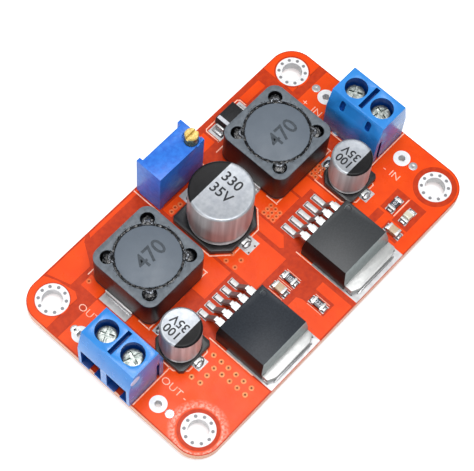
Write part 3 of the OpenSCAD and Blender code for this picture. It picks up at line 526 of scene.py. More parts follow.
def coat(piece, material):
    """Gives a piece one finish, by its name or as a material."""
    piece.data.materials.clear()
    piece.data.materials.append(finishes[material] if isinstance(material, str) else material)


def finish_piece(piece, name, material, slot, body=MODULE, replaces=(), smooth=35):
    """Names a piece, brings its place into its mesh, and hands it to a body."""
    settle(piece)
    bpy.ops.object.shade_smooth_by_angle(angle=math.radians(smooth))
    piece.name = name
    piece.data.name = name
    coat(piece, material)
    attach(piece, body)
    if replaces:
        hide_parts(*replaces)
    return piece


def repaint(node, material):
    """A CAD node that keeps its shape gets its finish."""
    coat(frame["nodes"][node], material)


def second_finish(piece, material, find):
    """Faces that find(mesh) tells apart get a second finish."""
    piece.data.materials.append(finishes[material])
    piece.active_material_index = len(piece.data.materials) - 1

    def assign(mesh):
        pick(mesh, faces=find(mesh))
        bpy.ops.object.material_slot_assign()
    edit(piece, assign)


def pockets(mesh, skin=0.15):
    """A test for faces that lie inside a moulding, deeper than skin under its outer planes."""
    outer = []
    for face in mesh.faces:
        start = face.verts[0].co
        if face.calc_area() > 2 * MM * MM and all(
                (point.co - start).dot(face.normal) < 0.02 * MM for point in mesh.verts):
            outer.append((start.copy(), face.normal.copy()))

    def inside(face):
        place = face.calc_center_median()
        return all((place - start).dot(normal) < -skin * MM for start, normal in outer)
    return inside


def body_of_node(node):
    bodies = frame["record"]["behaviour"]["bodies"]
    return next((body for body, nodes in bodies.items() if node in nodes), MODULE)


def slot_of_node(node):
    rows = frame["record"]["subparts"]
    return next(row["material_slot"] for row in rows if row["node"] == node)


def loose_copy(node):
    """A merged copy of a CAD node, with whole faces in place of triangles."""
    piece = added(node + "_shape", frame["nodes"][node].data.copy())
    choose(piece)
    bpy.ops.mesh.customdata_custom_splitnormals_clear()

    def join_faces(mesh):
        bpy.ops.mesh.select_all(action="SELECT")
        bpy.ops.mesh.remove_doubles(threshold=1e-6)
        bpy.ops.mesh.dissolve_limited(angle_limit=math.radians(0.5))
    edit(piece, join_faces)
    return piece


def rounded(node, name, width, material, angle=34, segments=3, corner="MITER_ARC"):
    """Stands for a CAD node with the same shape, its sharp edges rounded."""
    piece = loose_copy(node)
    modify(piece, "BEVEL", width=width * MM, segments=segments, limit_method="ANGLE",
           angle_limit=math.radians(angle), miter_outer=corner)
    return finish_piece(piece, name, material, slot_of_node(node), body_of_node(node), (node,))


def plate(name, loops, low, high):
    """A flat drawing, filled between its loops and raised to a plate, all in mm."""
    drawing = bpy.data.curves.new(name, "CURVE")
    drawing.dimensions = "2D"
    drawing.fill_mode = "BOTH"
    drawing.extrude = (high - low) / 2 * MM
    for loop in loops:
        spline = drawing.splines.new("POLY")
        spline.points.add(len(loop) - 1)
        for point, (x, y) in zip(spline.points, loop):
            point.co = (x * MM, y * MM, 0, 1)
        spline.use_cyclic_u = True
    piece = added(name, drawing)
    piece.location.z = (low + high) / 2 * MM
    return meshed(piece)


def circle(x, y, radius, steps=48, start=0, sweep=360):
    """Points on a circle or an arc."""
    count = steps if sweep == 360 else steps + 1
    return [(x + radius * math.cos(math.radians(start + sweep * i / steps)),
             y + radius * math.sin(math.radians(start + sweep * i / steps)))
            for i in range(count)]


def stroke(points, width):
    """The outline of a drawn line."""
    left, right = [], []
    for i, (x, y) in enumerate(points):
        near = points[max(i - 1, 0):i + 2]
        ways = [Vector((end[0] - start[0], end[1] - start[1])).normalized()
                for start, end in zip(near, near[1:])]
        along = sum(ways, Vector((0, 0))).normalized()
        side = Vector((-along.y, along.x))
        reach = width / 2 / max(0.4, side.dot(Vector((-ways[0].y, ways[0].x))))
        left.append((x + side.x * reach, y + side.y * reach))
        right.append((x - side.x * reach, y - side.y * reach))
    return left + right[::-1]


def lathe(name, profile, place=(0, 0, 0), steps=96):
    """One point, extruded along a profile of (radius, height) in mm, then spun."""
    choose()
    bpy.ops.mesh.primitive_plane_add(size=MM)
    piece = bpy.context.object
    piece.name = name

    def draw(mesh):
        bpy.context.tool_settings.mesh_select_mode = (True, False, False)
        bpy.ops.mesh.select_all(action="SELECT")
        bpy.ops.mesh.merge(type="CENTER")
        radius, height = profile[0]
        bpy.ops.transform.translate(value=(radius * MM, 0, height * MM))
        for (r, z), (next_r, next_z) in zip(profile, profile[1:]):
            bpy.ops.mesh.extrude_vertices_move(TRANSFORM_OT_translate={
                "value": ((next_r - r) * MM, 0, (next_z - z) * MM)})
        bpy.ops.mesh.select_all(action="SELECT")
        bpy.ops.mesh.spin(steps=steps, angle=2 * math.pi, center=(0, 0, 0), axis=(0, 0, 1))
    edit(piece, draw, weld)
    piece.location = Vector(place) * MM
    settle(piece)
    return piece


def repeat(piece, places):
    """Copies of a piece made at the origin, one at each place in mm, joined."""
    made = []
    for place in places:
        twin = added(piece.name, piece.data.copy())
        twin.location = Vector(place) * MM
        made.append(twin)
    return merge(*made)


def scatter(piece, places, *labels):
    """Repeats a piece, drops the first one and finishes what is joined."""
    made = repeat(piece, places)
    bpy.data.objects.remove(piece)
    finish_piece(made, *labels)


def roughen(piece, amount, seed, test=lambda point: True):
    """Moves the points that pass a test by chance, up to an amount in mm."""
    def shake(mesh):
        pick(mesh, points=test)
        bpy.ops.transform.vertex_random(offset=amount * MM, uniform=1.0, normal=0.0, seed=seed)
    edit(piece, shake)


def block(low, high, turn=0.0):
    """A box between two corners in mm, turned about its own middle."""
    choose()
    centre = [(a + b) / 2 * MM for a, b in zip(low, high)]
    bpy.ops.mesh.primitive_cube_add(size=1, location=centre)
    piece = bpy.context.object
    piece.scale = [(b - a) * MM for a, b in zip(low, high)]
    piece.rotation_euler = (0, 0, math.radians(turn))
    bpy.ops.object.transform_apply(location=False, rotation=True, scale=True)
    return piece


def cut(piece, tool):
    """Takes a tool's shape out of a piece."""
    modify(piece, "BOOLEAN", operation="DIFFERENCE", solver="EXACT", object=tool)
    bpy.data.objects.remove(tool)


def lettering(words, height, place, turn, thickness, width=1.0, weight=0.0):
    """Plain letters lying flat, centred on their place, as a mesh; sizes in mm."""
    choose()
    bpy.ops.object.text_add(location=[c * MM for c in place],
                            rotation=(0, 0, math.radians(turn)))
    text = bpy.context.object
    text.data.body = words
    text.data.size = height / CAPITAL * MM
    text.data.align_x = "CENTER"
    text.data.align_y = "CENTER"
    text.data.resolution_u = 3
    text.data.offset = weight * MM
    text.data.extrude = thickness / 2 * MM
    text.scale = (width, 1, 1)
    return meshed(text)


def tube(name, points, radius):
    """A round wire through points in mm, closed at both ends."""
    wire = bpy.data.curves.new(name, "CURVE")
    wire.dimensions = "3D"
    wire.bevel_depth = radius * MM
    wire.bevel_resolution = 4
    wire.use_fill_caps = True
    wire.resolution_u = 6
    spline = wire.splines.new("BEZIER")
    spline.bezier_points.add(len(points) - 1)
    for knot, point in zip(spline.bezier_points, points):
        knot.co = Vector(point) * MM
        knot.handle_left_type = knot.handle_right_type = "AUTO"
    return meshed(added(name, wire))


def solder_mound(x0, y0, x1, y1, height, top, rough, seed):
    """A soft heap of solder on the pads: broad at its foot, narrow at its top."""
    low = (x0, y0, PAD_TOP - SUNK)
    high = (x1, y1, PAD_TOP + height)
    piece = block(low, high)
    rise = (low[2] + high[2]) / 2 * MM

    def narrow(mesh):
        pick(mesh, faces=lambda f: f.normal.z > 0.9)
        bpy.ops.transform.resize(value=(top, top, 1))
    edit(piece, narrow)
    settle(piece)
    modify(piece, "BEVEL", width=min(b - a for a, b in zip(low, high)) * 0.4 * MM,
           segments=2, limit_method="ANGLE")
    modify(piece, "SUBSURF", levels=1, render_levels=1)
    roughen(piece, rough, seed, lambda point: point.co.z > rise)
    return piece


# ---- Circuit board ----

RING_RADIUS = 2.6
HOLE_X, HOLE_Y = (side - RING_RADIUS for side in corners("mounting_hole_plating")[1].xy)
HOLES = [(x, y) for x in (-HOLE_X, HOLE_X) for y in (-HOLE_Y, HOLE_Y)]
WIRE_HOLES = [(x, y) for x in (-27.95, 27.1) for y in (-7.84, 7.84)]
INDUCTORS = {end: middle(f"{end}_inductor_shield") for end in ("output", "input")}
SMALL_CANS = [middle("output_capacitor_base"), middle("input_capacitor_base")]
MAIN_CAN = middle("main_capacitor_base")


def rectangle(x0, y0, x1, y1):
    return [(x0, y0), (x1, y0), (x1, y1), (x0, y1)]


def copper_pours():
    """Wide copper areas under the mask; the laminate shows darker between them."""
    def round_corner(x, y, start):
        return circle(x, y, 3.85, 12, start, 90)

    output_minus = [(-30.55, -5.35), *round_corner(-26.8, -14.6, 180), (-15.5, -18.35),
                    (-15.5, -5.6), (-17.0, -4.9), (-22.4, -4.9)]
    middle_ground = [(-14.4, -6.6), (-14.4, -18.35), (2.9, -18.35), (2.9, -12.6), (1.3, -12.6),
                     (1.3, -16.3), (-1.3, -16.3), (-1.3, -12.2), (-1.7, -11.3), (-3.6, -11.3),
                     (-3.6, -6.6)]
    input_minus = [(3.7, -6.9), (3.7, -18.35), *round_corner(26.8, -14.6, 270),
                   (30.65, -5.35), (15.6, -5.6), (14.6, -6.9)]
    input_plus = [(24.2, 12.3), (30.65, 12.3), *round_corner(26.8, 14.6, 0), (24.2, 18.4)]
    output_plus = [(-29.6, 12.2), (-24.2, 12.2), (-23.6, 13.2), (-24.2, 16.4), (-25.0, 18.35),
                   *round_corner(-26.8, 14.6, 90), (-30.6, 12.2)]
    clearances = ((output_minus, HOLES[0], 3.2), (input_minus, HOLES[2], 3.45),
                  (input_plus, HOLES[3], 2.85), (output_plus, HOLES[1], 2.75))
    areas = [
        output_minus, middle_ground, input_minus, input_plus, output_plus,
        [(-24.5, 18.3), (-23.25, 14.45), (-19.2, 14.45), (-18.6, 15.2), (-16.9, 17.9),
         (-16.2, 18.3)],
        [(-15.4, 18.3), (-15.8, 17.7), (-4.9, 17.7), (-4.9, 18.3)],
        [(3.1, -4.6), (4.6, -3.2), (4.6, 4.4), (2.6, 4.4), (2.6, -4.2)],
        [(5.0, -0.8), (5.0, 4.6), (9.0, 4.6), (10.9, 2.2), (10.9, -0.8)],
        [(11.3, 0.9), (14.6, 0.9), (14.6, -5.2), (13.4, -5.2), (13.4, -1.0),
         (11.3, -1.0)],
        [(4.9, 15.1), (6.6, 17.5), (9.1, 17.5), (9.1, 15.1)],
    ]
    for box in ((-22.25, 10.05, -20.0, 13.35), (-30.55, 5.0, -22.3, 9.95),
                (-22.0, -4.4, -19.3, 4.3), (-19.0, 0.9, -13.0, 4.6), (-11.3, -1.6, -5.5, 4.2),
                (-5.0, -6.1, 1.9, 2.2), (15.0, -0.8, 22.7, 0.95), (21.0, 6.1, 30.6, 10.75),
                (17.6, 16.1, 22.0, 17.6), (-4.9, 11.2, -1.0, 13.0)):
        areas.append(rectangle(*box))
    pours = []
    for outline in areas:
        loops = [outline]
        loops += [circle(*hole, clearance, 64) for area, hole, clearance in clearances
                  if area is outline]
        xs, ys = zip(*outline)
        for x, y in WIRE_HOLES:
            if min(xs) < x < max(xs) and min(ys) < y < max(ys):
                loops.append(circle(x, y, 0.9, 32))
        pours.append(plate("pour", loops, BOARD_TOP - 0.002, COPPER_TOP))
    finish_piece(merge(*pours), "copper_pours", "mask_over_copper", "solder_mask")


def dark_windows():
    """Windows in the copper where the laminate shows through the mask."""
    boxes = [(18.5, -13.3, 22.7, -10.7), (17.9, -16.5, 22.7, -13.5), (15.3, -11.9, 18.1, -10.6),
             (15.2, -16.4, 17.6, -13.2)]
    made = [plate("window", [rectangle(*box)], COPPER_TOP - 0.003, COPPER_TOP + 0.004)
            for box in boxes]
    finish_piece(merge(*made), "laminate_windows", "bare_laminate", "solder_mask")


def vias():
    """Small plated holes between the two sides: a raised ring round a dark bore."""
    places = [(-21.6, -8.5), (-16.9, -8.6), (-21.4, -10.05), (-19.9, -10.0), (-18.4, -10.0),
              (-16.9, -10.1)]
    places += [(x, y) for x in (-18.3, -16.9) for y in (-11.5, -13.0, -14.5, -16.05)]
    faint = [(x, y) for x in (5.4, 6.2, 7.0) for y in (-0.3, 0.6, 1.5)]
    faint += [(x, y) for x in (15.4, 16.3, 17.2) for y in (-0.2, 0.6)]
    faint += [(-4.4, -1.4), (-2.9, -1.3), (-4.5, 0.3), (-3.0, 0.4), (-21.0, 12.9)]
    faint += [(4.4, 10.9), (-4.2, 11.8), (-3.3, 11.9), (-2.4, 11.7)]
    choose()
    bpy.ops.mesh.primitive_torus_add(major_segments=16, minor_segments=6,
                                     major_radius=0.29 * MM, minor_radius=0.14 * MM)
    ring = bpy.context.object
    ring.scale = (1, 1, 0.25)
    settle(ring)
    bore = lathe("bore", [(0, -0.03), (0.16, -0.03), (0.16, 0.012), (0.1, 0.002), (0, 0)],
                 steps=12)
    in_pad = [(x, y, PAD_TOP + 0.01) for x, y in ((0.25, -1.25), (-1.2, -1.3))]
    for kind, group, bare in (("faint_via", faint, []), ("via", places, in_pad)):
        spots = [(x, y, COPPER_TOP) for x, y in group]
        finish_piece(repeat(ring, spots), kind + "_rings", kind + "_mask", "solder_mask")
        finish_piece(repeat(bore, spots + bare), kind + "_bores", kind + "_hole", "solder_mask")
    bpy.data.objects.remove(ring)
    bpy.data.objects.remove(bore)


def hole_vias():
    """Tin-filled vias round each mounting hole, and the round pad beside each wire hole."""
    dot = lathe("dot", [(0, 0.004), (0.1, 0.002), (0.2, 0.02), (0.27, 0.004), (0.27, -0.02)],
                steps=14)
    spots = []
    for hole in HOLES:
        spots += [(x, y, PAD_TOP) for x, y in circle(*hole, 2.1, 10, 18)]
    scatter(dot, spots, "ring_vias", "via_tin", "tinned_copper")
    pad = lathe("pad", [(0, 0.0), (0.16, 0.0), (0.22, 0.008), (0.42, 0.03), (0.68, 0.0),
                        (0.72, -0.05), (0, -0.05)], steps=28)
    beside = [(27.24, 10.0, PAD_TOP), (27.24, -10.0, PAD_TOP), (-27.9, -10.05, PAD_TOP),
              (-27.95, 9.0, PAD_TOP)]
    scatter(pad, beside, "wire_side_vias", "solder", "tinned_copper")
    # The sleeves' pale finish is painted light on the shaded hole walls.
    sleeve = lathe("sleeve", [(0.6, 0.0), (0.6, PAD_TOP - 0.02), (0.56, PAD_TOP - 0.01),
                              (0.56, 0.0), (0.6, 0.0)], steps=40)
    scatter(sleeve, [(x, y, 0) for x, y in WIRE_HOLES], "wire_hole_sleeves", "bore_tin",
            "tinned_copper")


def silkscreen():
    """Printed outlines round the parts, end marks and pole marks."""
    made = []

    def line(*points, width=LINE):
        made.append(plate("line", [stroke(points, width)], BOARD_TOP, INK_TOP))

    def pair(x, y, *points, width=LINE):
        """A line left and right of a part's middle; points are outward and upward of it."""
        for turn in (-1, 1):
            line(*[(x + turn * outward, y + upward) for outward, upward in points],
                 width=width)

    side = 6.15
    for x, _ in INDUCTORS.values():
        line((x - side, 1.15), (x + side, 1.15))
        line((x - side, 13.75), (x + side, 13.75))
        pair(x, 0, (side + 0.15, 0.95), (side + 0.15, 3.2))
    for x, y in SMALL_CANS:
        pair(x, y, (3.5, 3.65), (3.5, -1.85), (2.0, -3.55), (1.1, -3.55))
    pair(*MAIN_CAN, (5.4, 5.25), (5.4, -3.05), (2.9, -5.45), (1.05, -5.45))
    line((-30.6, -5.25), (-22.6, -5.25))
    line((-22.9, 7.2), (-22.9, 5.3))
    line((22.85, -5.25), (30.7, -5.25))
    line((22.85, -5.1), (22.85, 5.1))
    line((-15.35, -6.3), (-15.35, -14.8), (-14.9, -15.1))
    line((3.85, -6.4), (3.85, -14.6), (4.15, -15.0))
    line((9.6, 14.7), (9.6, 17.3), (9.9, 17.6), (17.0, 17.6), (17.3, 17.3), (17.3, 16.0))
    line((9.45, 14.75), (10.3, 14.75))
    line((-5.6, 12.95), (-5.6, 18.4))
    line((5.0, 13.0), (5.0, 16.0))
    for x, y in ((-2.5, -8.7), (-0.2, -8.7), (-0.3, -14.5)):
        pair(x, y, (1, -1.4), (1, 1.4), width=LINE / 2)
    line((18.6, -13.3), (22.4, -13.3))
    line((16.0, -1.0), (16.0, 0.0), (19.0, 0.0))
    signs = [("OUT", (-24.75, 9.35)), ("+", (-24.75, 6.9)),
             ("OUT", (-24.7, -7.45)), ("-", (-24.7, -10.1)),
             ("IN", (24.0, -8.95)), ("-", (24.0, -7.05)),
             ("IN", (24.05, 7.2)), ("+", (24.05, 9.6))]
    for words, (x, y) in signs:
        made.append(lettering(words, 1.15, (x, y, INK_TOP - 0.015), -90, 0.03, 1.15, -0.012))
    finish_piece(merge(*made), "silkscreen", "ink", "solder_mask")


def build_board():
    repaint("circuit_board", "solder_mask")
    # The plated holes get the pale tin: painted light on their shaded walls.
    for node in ("mounting_hole_plating", "wire_hole_plating", "pin_hole_plating"):
        repaint(node, "bore_tin")
    repaint("solder_pads", "tinned_copper")
    repaint("pin_solder", "solder")
    copper_pours()
    dark_windows()
    vias()
    hole_vias()
    silkscreen()


# ---- Screw terminals ----

POLES = [f"{end}_{place}" for end in ("output", "input") for place in ("back", "front")]


def terminal_screw(pole):
    """Cross-slotted head over a threaded shank."""
    node = pole + "_screw"
    x, y = middle(node)
    low, high = corners(node)
    tip, top = low.z, high.z
    under = top - 1.3
    piece = lathe(node, [(0, tip), (0.95, tip), (1.1, tip + 0.15), (1.1, under - 0.05),
                         (1.25, under), (1.42, under), (1.5, under + 0.1), (1.5, top - 0.25),
                         (1.44, top - 0.1), (1.28, top - 0.02), (0.9, top), (0, top)],
                  (x, y, 0), 64)
    turn = 25 if pole.endswith("back") else -18
    for extra, reach in ((0, 1.7), (90, 1.1)):
        slot = block((x - reach, y - 0.26, top - 0.5), (x + reach, y + 0.26, top + 0.3),
                     turn + extra)
        modify(slot, "BEVEL", width=0.06 * MM, segments=2)
        cut(piece, slot)
    choose()
    bpy.ops.mesh.primitive_circle_add(vertices=3, radius=0.17 * MM, fill_type="NGON",
                                      location=(1.08 * MM, 0, tip * MM),
                                      rotation=(math.radians(90), 0, 0))
    thread = bpy.context.object
    settle(thread)
    modify(thread, "SCREW", axis="Z", screw_offset=0.45 * MM, iterations=7, steps=24,
           render_steps=24, use_merge_vertices=False)
    thread.location = (x * MM, y * MM, 0.2 * MM)
    settle(thread)
    edit(thread, weld)
    finish_piece(merge(thread, piece), node + "_detailed", "screw_steel", "screw_steel",
                 body_of_node(node), (node,), 40)


def build_terminals():
    for end, turn in (("output", -1), ("input", 1)):
        housing = rounded(f"{end}_terminal_housing", f"{end}_terminal_moulding", 0.1,
                          "terminal_plastic", 38)
        # Faces deep inside the housing get the darker blue: painted shade in its recesses.
        second_finish(housing, "terminal_recess_painted_shade", pockets)
        repaint(f"{end}_terminal_contacts", "tinned_leads")
        low, high = corners(f"{end}_terminal_housing")
        inset = 1.3
        front = low.x + inset if turn < 0 else high.x - inset
        wall = low.y if turn < 0 else high.y
        # A raised disc on the side wall, whose pale lilac finish is a painted reflection.
        mark = lathe("mark", [(0, 0.04), (0.5, 0.04), (0.7, 0.08), (0.86, 0.05),
                              (0.9, -0.03), (0, -0.03)], steps=36)
        mark.rotation_euler = (math.radians(-90 * turn), 0, 0)
        mark.location = (front * MM, wall * MM, 9.9 * MM)
        finish_piece(mark, f"{end}_ejector_disc_painted_reflection", "pale_painted_reflection", "terminal_plastic")
    for pole in POLES:
        terminal_screw(pole)
        rounded(pole + "_clamp", pole + "_clamp_steel", 0.1, "clamp_steel")


# ---- Inductors ----

def notch_fill(x, y, top, angle, seed):
    """Dark glue in a corner notch, with the winding's end bent over it."""
    way = Vector((math.cos(angle), math.sin(angle), 0))
    side = Vector((-way.y, way.x, 0))
    centre = Vector((x, y, 0))
    choose()
    bpy.ops.mesh.primitive_ico_sphere_add(subdivisions=3, radius=MM)
    glue = bpy.context.object
    glue.scale = (0.95, 1.1, 0.55)
    glue.rotation_euler = (0, 0, angle)
    glue.location = (centre + way * 5.8 + Vector((0, 0, top - 0.72))) * MM
    settle(glue)
    roughen(glue, 0.09, seed)
    knots = [centre + way * reach + side * drift + Vector((0, 0, height))
             for reach, drift, height in ((5.0, -0.85, top - 0.5), (5.5, -0.45, top - 0.2),
                                          (5.75, 0.05, top - 0.14), (5.45, 0.5, top - 0.22),
                                          (4.98, 0.8, top - 0.55))]
    wire = tube("lead_out", knots, 0.24)
    roughen(wire, 0.05, seed + 1)
    return glue, wire


def build_inductor(end, offset):
    x, y = INDUCTORS[end]
    rounded(f"{end}_inductor_shield", f"{end}_shield", 0.22, "ferrite", 38, 4)
    rounded(f"{end}_inductor_base", f"{end}_coil_base", 0.08, "black_base", 38)
    rounded(f"{end}_inductor_tabs", f"{end}_coil_tabs", 0.06, "plate_tin")
    repaint(f"{end}_inductor_winding", "enamelled_wire")
    low, high = corners(f"{end}_inductor_drum")
    bottom, top = low.z, high.z
    edge, core, flange = 5, 2.4, 1.2
    drum = lathe("drum", [(0, bottom), (edge - 0.1, bottom), (edge, bottom + 0.1),
                          (edge, bottom + flange - 0.1), (edge - 0.1, bottom + flange),
                          (core, bottom + flange), (core, top - flange),
                          (edge - 0.1, top - flange), (edge, top - flange + 0.1),
                          (edge, top - 0.16), (edge - 0.05, top - 0.06), (edge - 0.16, top),
                          (0, top)], (x, y, 0))
    finish_piece(drum, f"{end}_drum", "drum_ferrite", "drum_ferrite",
                 MODULE, (f"{end}_inductor_drum",))
    digits = lettering("470", 2.6, (x + offset[0], y + offset[1], top - 0.005), 0, 0.05, 0.95,
                       0.05)
    finish_piece(digits, f"{end}_drum_value", "relief_ink", "drum_ferrite")
    glue = lathe("glue", [(4.93, top - 0.9), (4.94, top - 0.1), (4.99, top + 0.02),
                          (5.1, top - 0.16), (5.26, top - 0.2), (5.42, top - 0.05),
                          (5.52, top + 0.03), (5.6, top - 0.05), (5.6, top - 0.9)],
                 (x, y, 0), 150)
    seed = 3 if end == "output" else 11
    roughen(glue, 0.1, seed, lambda point: point.co.z > (top - 0.5) * MM)
    finish_piece(glue, f"{end}_coil_glue", "coil_glue", "ferrite")
    lumps, wires = zip(*[notch_fill(x, y, top, math.radians(45 + 90 * i), seed + 2 * i)
                         for i in range(4)])
    finish_piece(merge(*lumps), f"{end}_notch_glue", "coil_glue", "ferrite")
    finish_piece(merge(*wires), f"{end}_wire_ends", "glued_wire", "enamelled_wire")


# ---- Capacitors ----

def can_profile(radius, bottom, top):
    """A drawn can: rolled neck near its foot, round shoulder at its top."""
    foot, neck, crown = 0.25, 0.14 * radius, 0.35
    middle_height = bottom + 0.24 * radius
    profile = [(0, bottom), (radius - neck - foot, bottom), (radius - foot, bottom + foot)]
    profile.append((radius - foot * 0.9, middle_height - neck * 1.05))
    for step in range(1, 10):
        angle = math.pi * step / 10
        profile.append((radius - 0.12 * foot - (neck - 0.12 * foot) * math.sin(angle) * 0.85,
                        middle_height - neck * math.cos(angle)))
    profile.append((radius, middle_height + neck * 1.15))
    for step in range(9):
        angle = math.pi / 2 * step / 8
        profile.append((radius - crown + crown * math.cos(angle),
                        top - crown + crown * math.sin(angle)))
    profile += [(radius - crown - 0.25, top - 0.03), (0, top - 0.03)]
    return profile


def build_can(name, mark_side, words, letter, turn):
    x, y = middle(name + "_base")
    low, high = corners(name + "_can")
    radius = (high.x - low.x) / 2
    can = lathe("can", can_profile(radius, low.z, high.z), (x, y, 0), 112)
    metal = brushed_can(name + "_aluminium", (x, y), high.z, mark_side, 0.4 * radius)
    finish_piece(can, name + "_sleeve", metal, "can_aluminium", MODULE, (name + "_can",), 40)
    rounded(name + "_base", name + "_foot", 0.08, "black_base", 38)
    rounded(name + "_leads", name + "_tinned_leads", 0.05, "tinned_leads")
    rows = [lettering(text, letter, (x + across, y + along, high.z - 0.024), turn, 0.012, 1.0,
                      0.035) for text, across, along in words]
    finish_piece(merge(*rows), name + "_value", "can_ink", "can_aluminium")


# ---- Regulators ----

LEAD_PITCH = 1.7


def build_regulator(name, lead_reach, foot_length):
    body = f"{name}_regulator_body"
    x = middle(body)[0]
    edge = corners(f"{name}_regulator_frame")[0].y
    lead_end = corners(body)[1].y + lead_reach
    piece = rounded(body, f"{name}_moulding", 0.07, f"{name}_moulding", 20,
                    corner="MITER_SHARP")
    # Sloping faces towards -Y get the pale grey: a painted glare on the moulding.
    second_finish(piece, "moulding_painted_glare", lambda mesh: lambda face: (
        face.normal.y < -0.5 and face.normal.z > 0.05))
    second_finish(piece, "moulding_shade", lambda mesh: lambda face: face.normal.x < -0.5)
    metal = rounded(f"{name}_regulator_frame", f"{name}_lead_frame", 0.06, "tab_tin", 30)
    # Upward flat faces on the lead side get the paler tin, and the slopes keep the darker tin: painted
    # light on the flats, painted shade on the slopes.
    second_finish(metal, "plate_tin", lambda mesh: lambda face: (
        face.normal.z > 0.9 and face.calc_center_median().y > middle(body)[1] * MM))
    feet = []
    for i in range(-2, 3):
        lead = x + LEAD_PITCH * i
        feet.append(solder_mound(lead - 0.5, lead_end - foot_length, lead + 0.5,
                                 lead_end + 0.26, 0.2, 0.8, 0.01, i + 7))
    finish_piece(merge(*feet), f"{name}_lead_solder", "solder", "solder")
    rim = [solder_mound(x - 4.4, edge - 0.28, x + 4.4, edge + 0.12, 0.42, 0.7, 0.01, 3)]
    for side in (-1, 1):
        wall = x + side * 5.0
        rim.append(solder_mound(wall - 0.16, edge + 0.3, wall + 0.16, edge + 1.5, 0.4, 0.6,
                                0.01, 5))
    finish_piece(merge(*rim), f"{name}_tab_solder", "solder", "solder")


# ---- Small parts ----

def build_chips():
    rounded("chip_resistor_bodies", "resistor_glaze_blocks", 0.05, "resistor_glaze")
    rounded("chip_capacitor_bodies", "ceramic_blocks", 0.06, "capacitor_ceramic")
    rounded("indicator_base", "indicator_plate", 0.04, "indicator_white")
    rounded("indicator_lens", "indicator_dome", 0.08, "indicator_resin")
    for node, name in (("chip_resistor_ends", "resistor_ends"),
                       ("chip_capacitor_ends", "ceramic_ends"),
                       ("indicator_ends", "indicator_tips")):
        rounded(node, name, 0.06, "tinned_leads")
    places = [(-0.2, -8.7, 90), (-0.3, -14.5, 90), (20.15, -12.2, 0), (-2.5, -8.7, 90),
              (16.5, -14.95, 90), (19.95, -14.95, 0)]
    fillets = []
    for number, (x, y, turn) in enumerate(places):
        for side in (-1, 1):
            along, across = (side * 1.22, 0) if turn == 0 else (0, side * 1.22)
            wide, deep = (0.34, 0.62) if turn == 0 else (0.62, 0.34)
            fillets.append(solder_mound(
                x + along - wide, y + across - deep, x + along + wide, y + across + deep,
                0.26, 0.6, 0.015, number * 2 + side))
    finish_piece(merge(*fillets), "chip_solder", "solder", "solder")
    glaze = corners("chip_resistor_bodies")[1].z + 0.004
    codes = [lettering(text, 0.62, (x, y, glaze), -turn, 0.012, 1.0, 0.01)
             for text, (x, y, turn) in zip(("102", "222", "102"), places)]
    finish_piece(merge(*codes), "resistor_values", "pale_mark", "resistor_glaze")


def build_rectifier():
    rounded("rectifier_body", "rectifier_moulding", 0.08, "rectifier_moulding", 15)
    rounded("rectifier_leads", "rectifier_straps", 0.06, "tinned_leads")
    low, high = corners("rectifier_body")
    band = plate("band", [rectangle(low.x + 0.32, low.y + 0.15, low.x + 0.95, high.y - 0.15)],
                 high.z - 0.005, high.z + 0.01)
    finish_piece(band, "rectifier_band", "pale_mark", "rectifier_moulding")
    leads = corners("rectifier_leads")
    heaps = [solder_mound(x - 0.55, low.y + 0.15, x + 0.55, high.y - 0.15, 0.28, 0.7, 0.02, 5)
             for x in (leads[0].x - 0.2, leads[1].x + 0.2)]
    finish_piece(merge(*heaps), "rectifier_solder", "solder", "solder")


def build_trimmer():
    rounded("trimmer_housing", "trimmer_case", 0.1, "trimmer_plastic", 38)
    for node, material in (("screw", "brass"), ("screw_seal", "seal_rubber"),
                           ("rotor", "rotor_plastic"), ("wiper", "brass"),
                           ("element", "element_ceramic"), ("pins", "tinned_leads"),
                           ("base_seal", "sealing_resin")):
        repaint("trimmer_" + node, material)


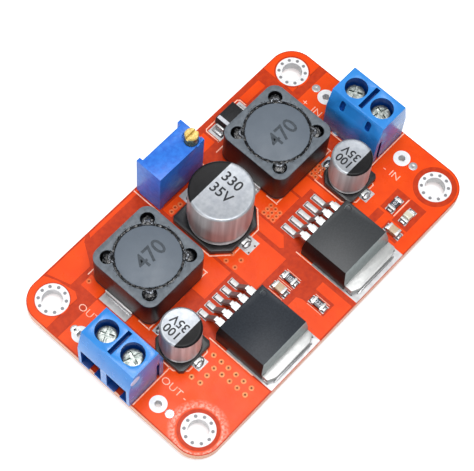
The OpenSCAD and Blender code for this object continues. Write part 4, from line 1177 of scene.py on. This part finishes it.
def solder_lump(x, y, size, seed):
    """An uneven low lump of solder on a pad, size in mm."""
    choose()
    bpy.ops.mesh.primitive_ico_sphere_add(subdivisions=3, radius=MM,
                                          location=(x * MM, y * MM, PAD_TOP * MM))
    lump = bpy.context.object
    lump.scale = size
    settle(lump)
    roughen(lump, 0.035, seed)

    def flatten(mesh):
        pick(mesh, points=lambda point: point.co.z < (PAD_TOP - SUNK) * MM)
        bpy.ops.mesh.delete(type="VERT")
        bpy.ops.mesh.select_all(action="SELECT")
        bpy.ops.mesh.select_non_manifold()
        bpy.ops.mesh.edge_face_add()
    edit(lump, flatten)
    return lump


def capacitor_solder():
    """Solder at the ends of the cans' leads and along the inductors' plates."""
    heaps = []
    for (x, y), name in zip((*SMALL_CANS, MAIN_CAN),
                            ("output_capacitor", "input_capacitor", "main_capacitor")):
        low, high = corners(name + "_leads")
        for seed, (end, outward) in enumerate(((low.y, -1), (high.y, 1))):
            heaps.append(solder_lump(x - 0.1, end + 0.15 * outward, (0.85, 0.55, 0.38),
                                     seed + 5))
            heaps.append(solder_lump(x + 0.6, end - 0.1 * outward, (0.4, 0.5, 0.26), seed + 9))
    finish_piece(merge(*heaps), "capacitor_solder", "solder", "solder", smooth=60)
    seams = []
    for end in ("output", "input"):
        low, high = corners(f"{end}_inductor_tabs")
        for wall, outward in ((low.x, -1), (high.x, 1)):
            near, away = sorted((wall - 0.05 * outward, wall + 0.3 * outward))
            seams.append(solder_mound(near, low.y + 0.1, away, high.y - 0.1, 0.22, 0.75, 0.01,
                                      int(wall)))
    finish_piece(merge(*seams), "inductor_solder", "solder", "solder")


# ---- The whole module ----

bpy.context.scene.view_settings.view_transform = "Standard"
for make in (solder_mask, mask_over_copper, print_finishes, metal_finishes,
             housing_finishes, inductor_finishes, part_finishes):
    make()
place_camera()
light_the_room()
build_board()
build_terminals()
build_inductor("output", (0.4, -0.1))
build_inductor("input", (0.4, -0.8))
build_can("main_capacitor", 1, [("330", 2.15, -0.15), ("35V", -0.35, -0.15)], 1.72, -90)
for place in ("output_capacitor", "input_capacitor"):
    build_can(place, -1, [("100", -1.35, 0.45), ("35V", 0.3, 0.45)], 1.4, 90)
capacitor_solder()
build_regulator("step_down", 4.6, 1.55)
build_regulator("step_up", 4.8, 2.35)
build_chips()
build_rectifier()
build_trimmer()
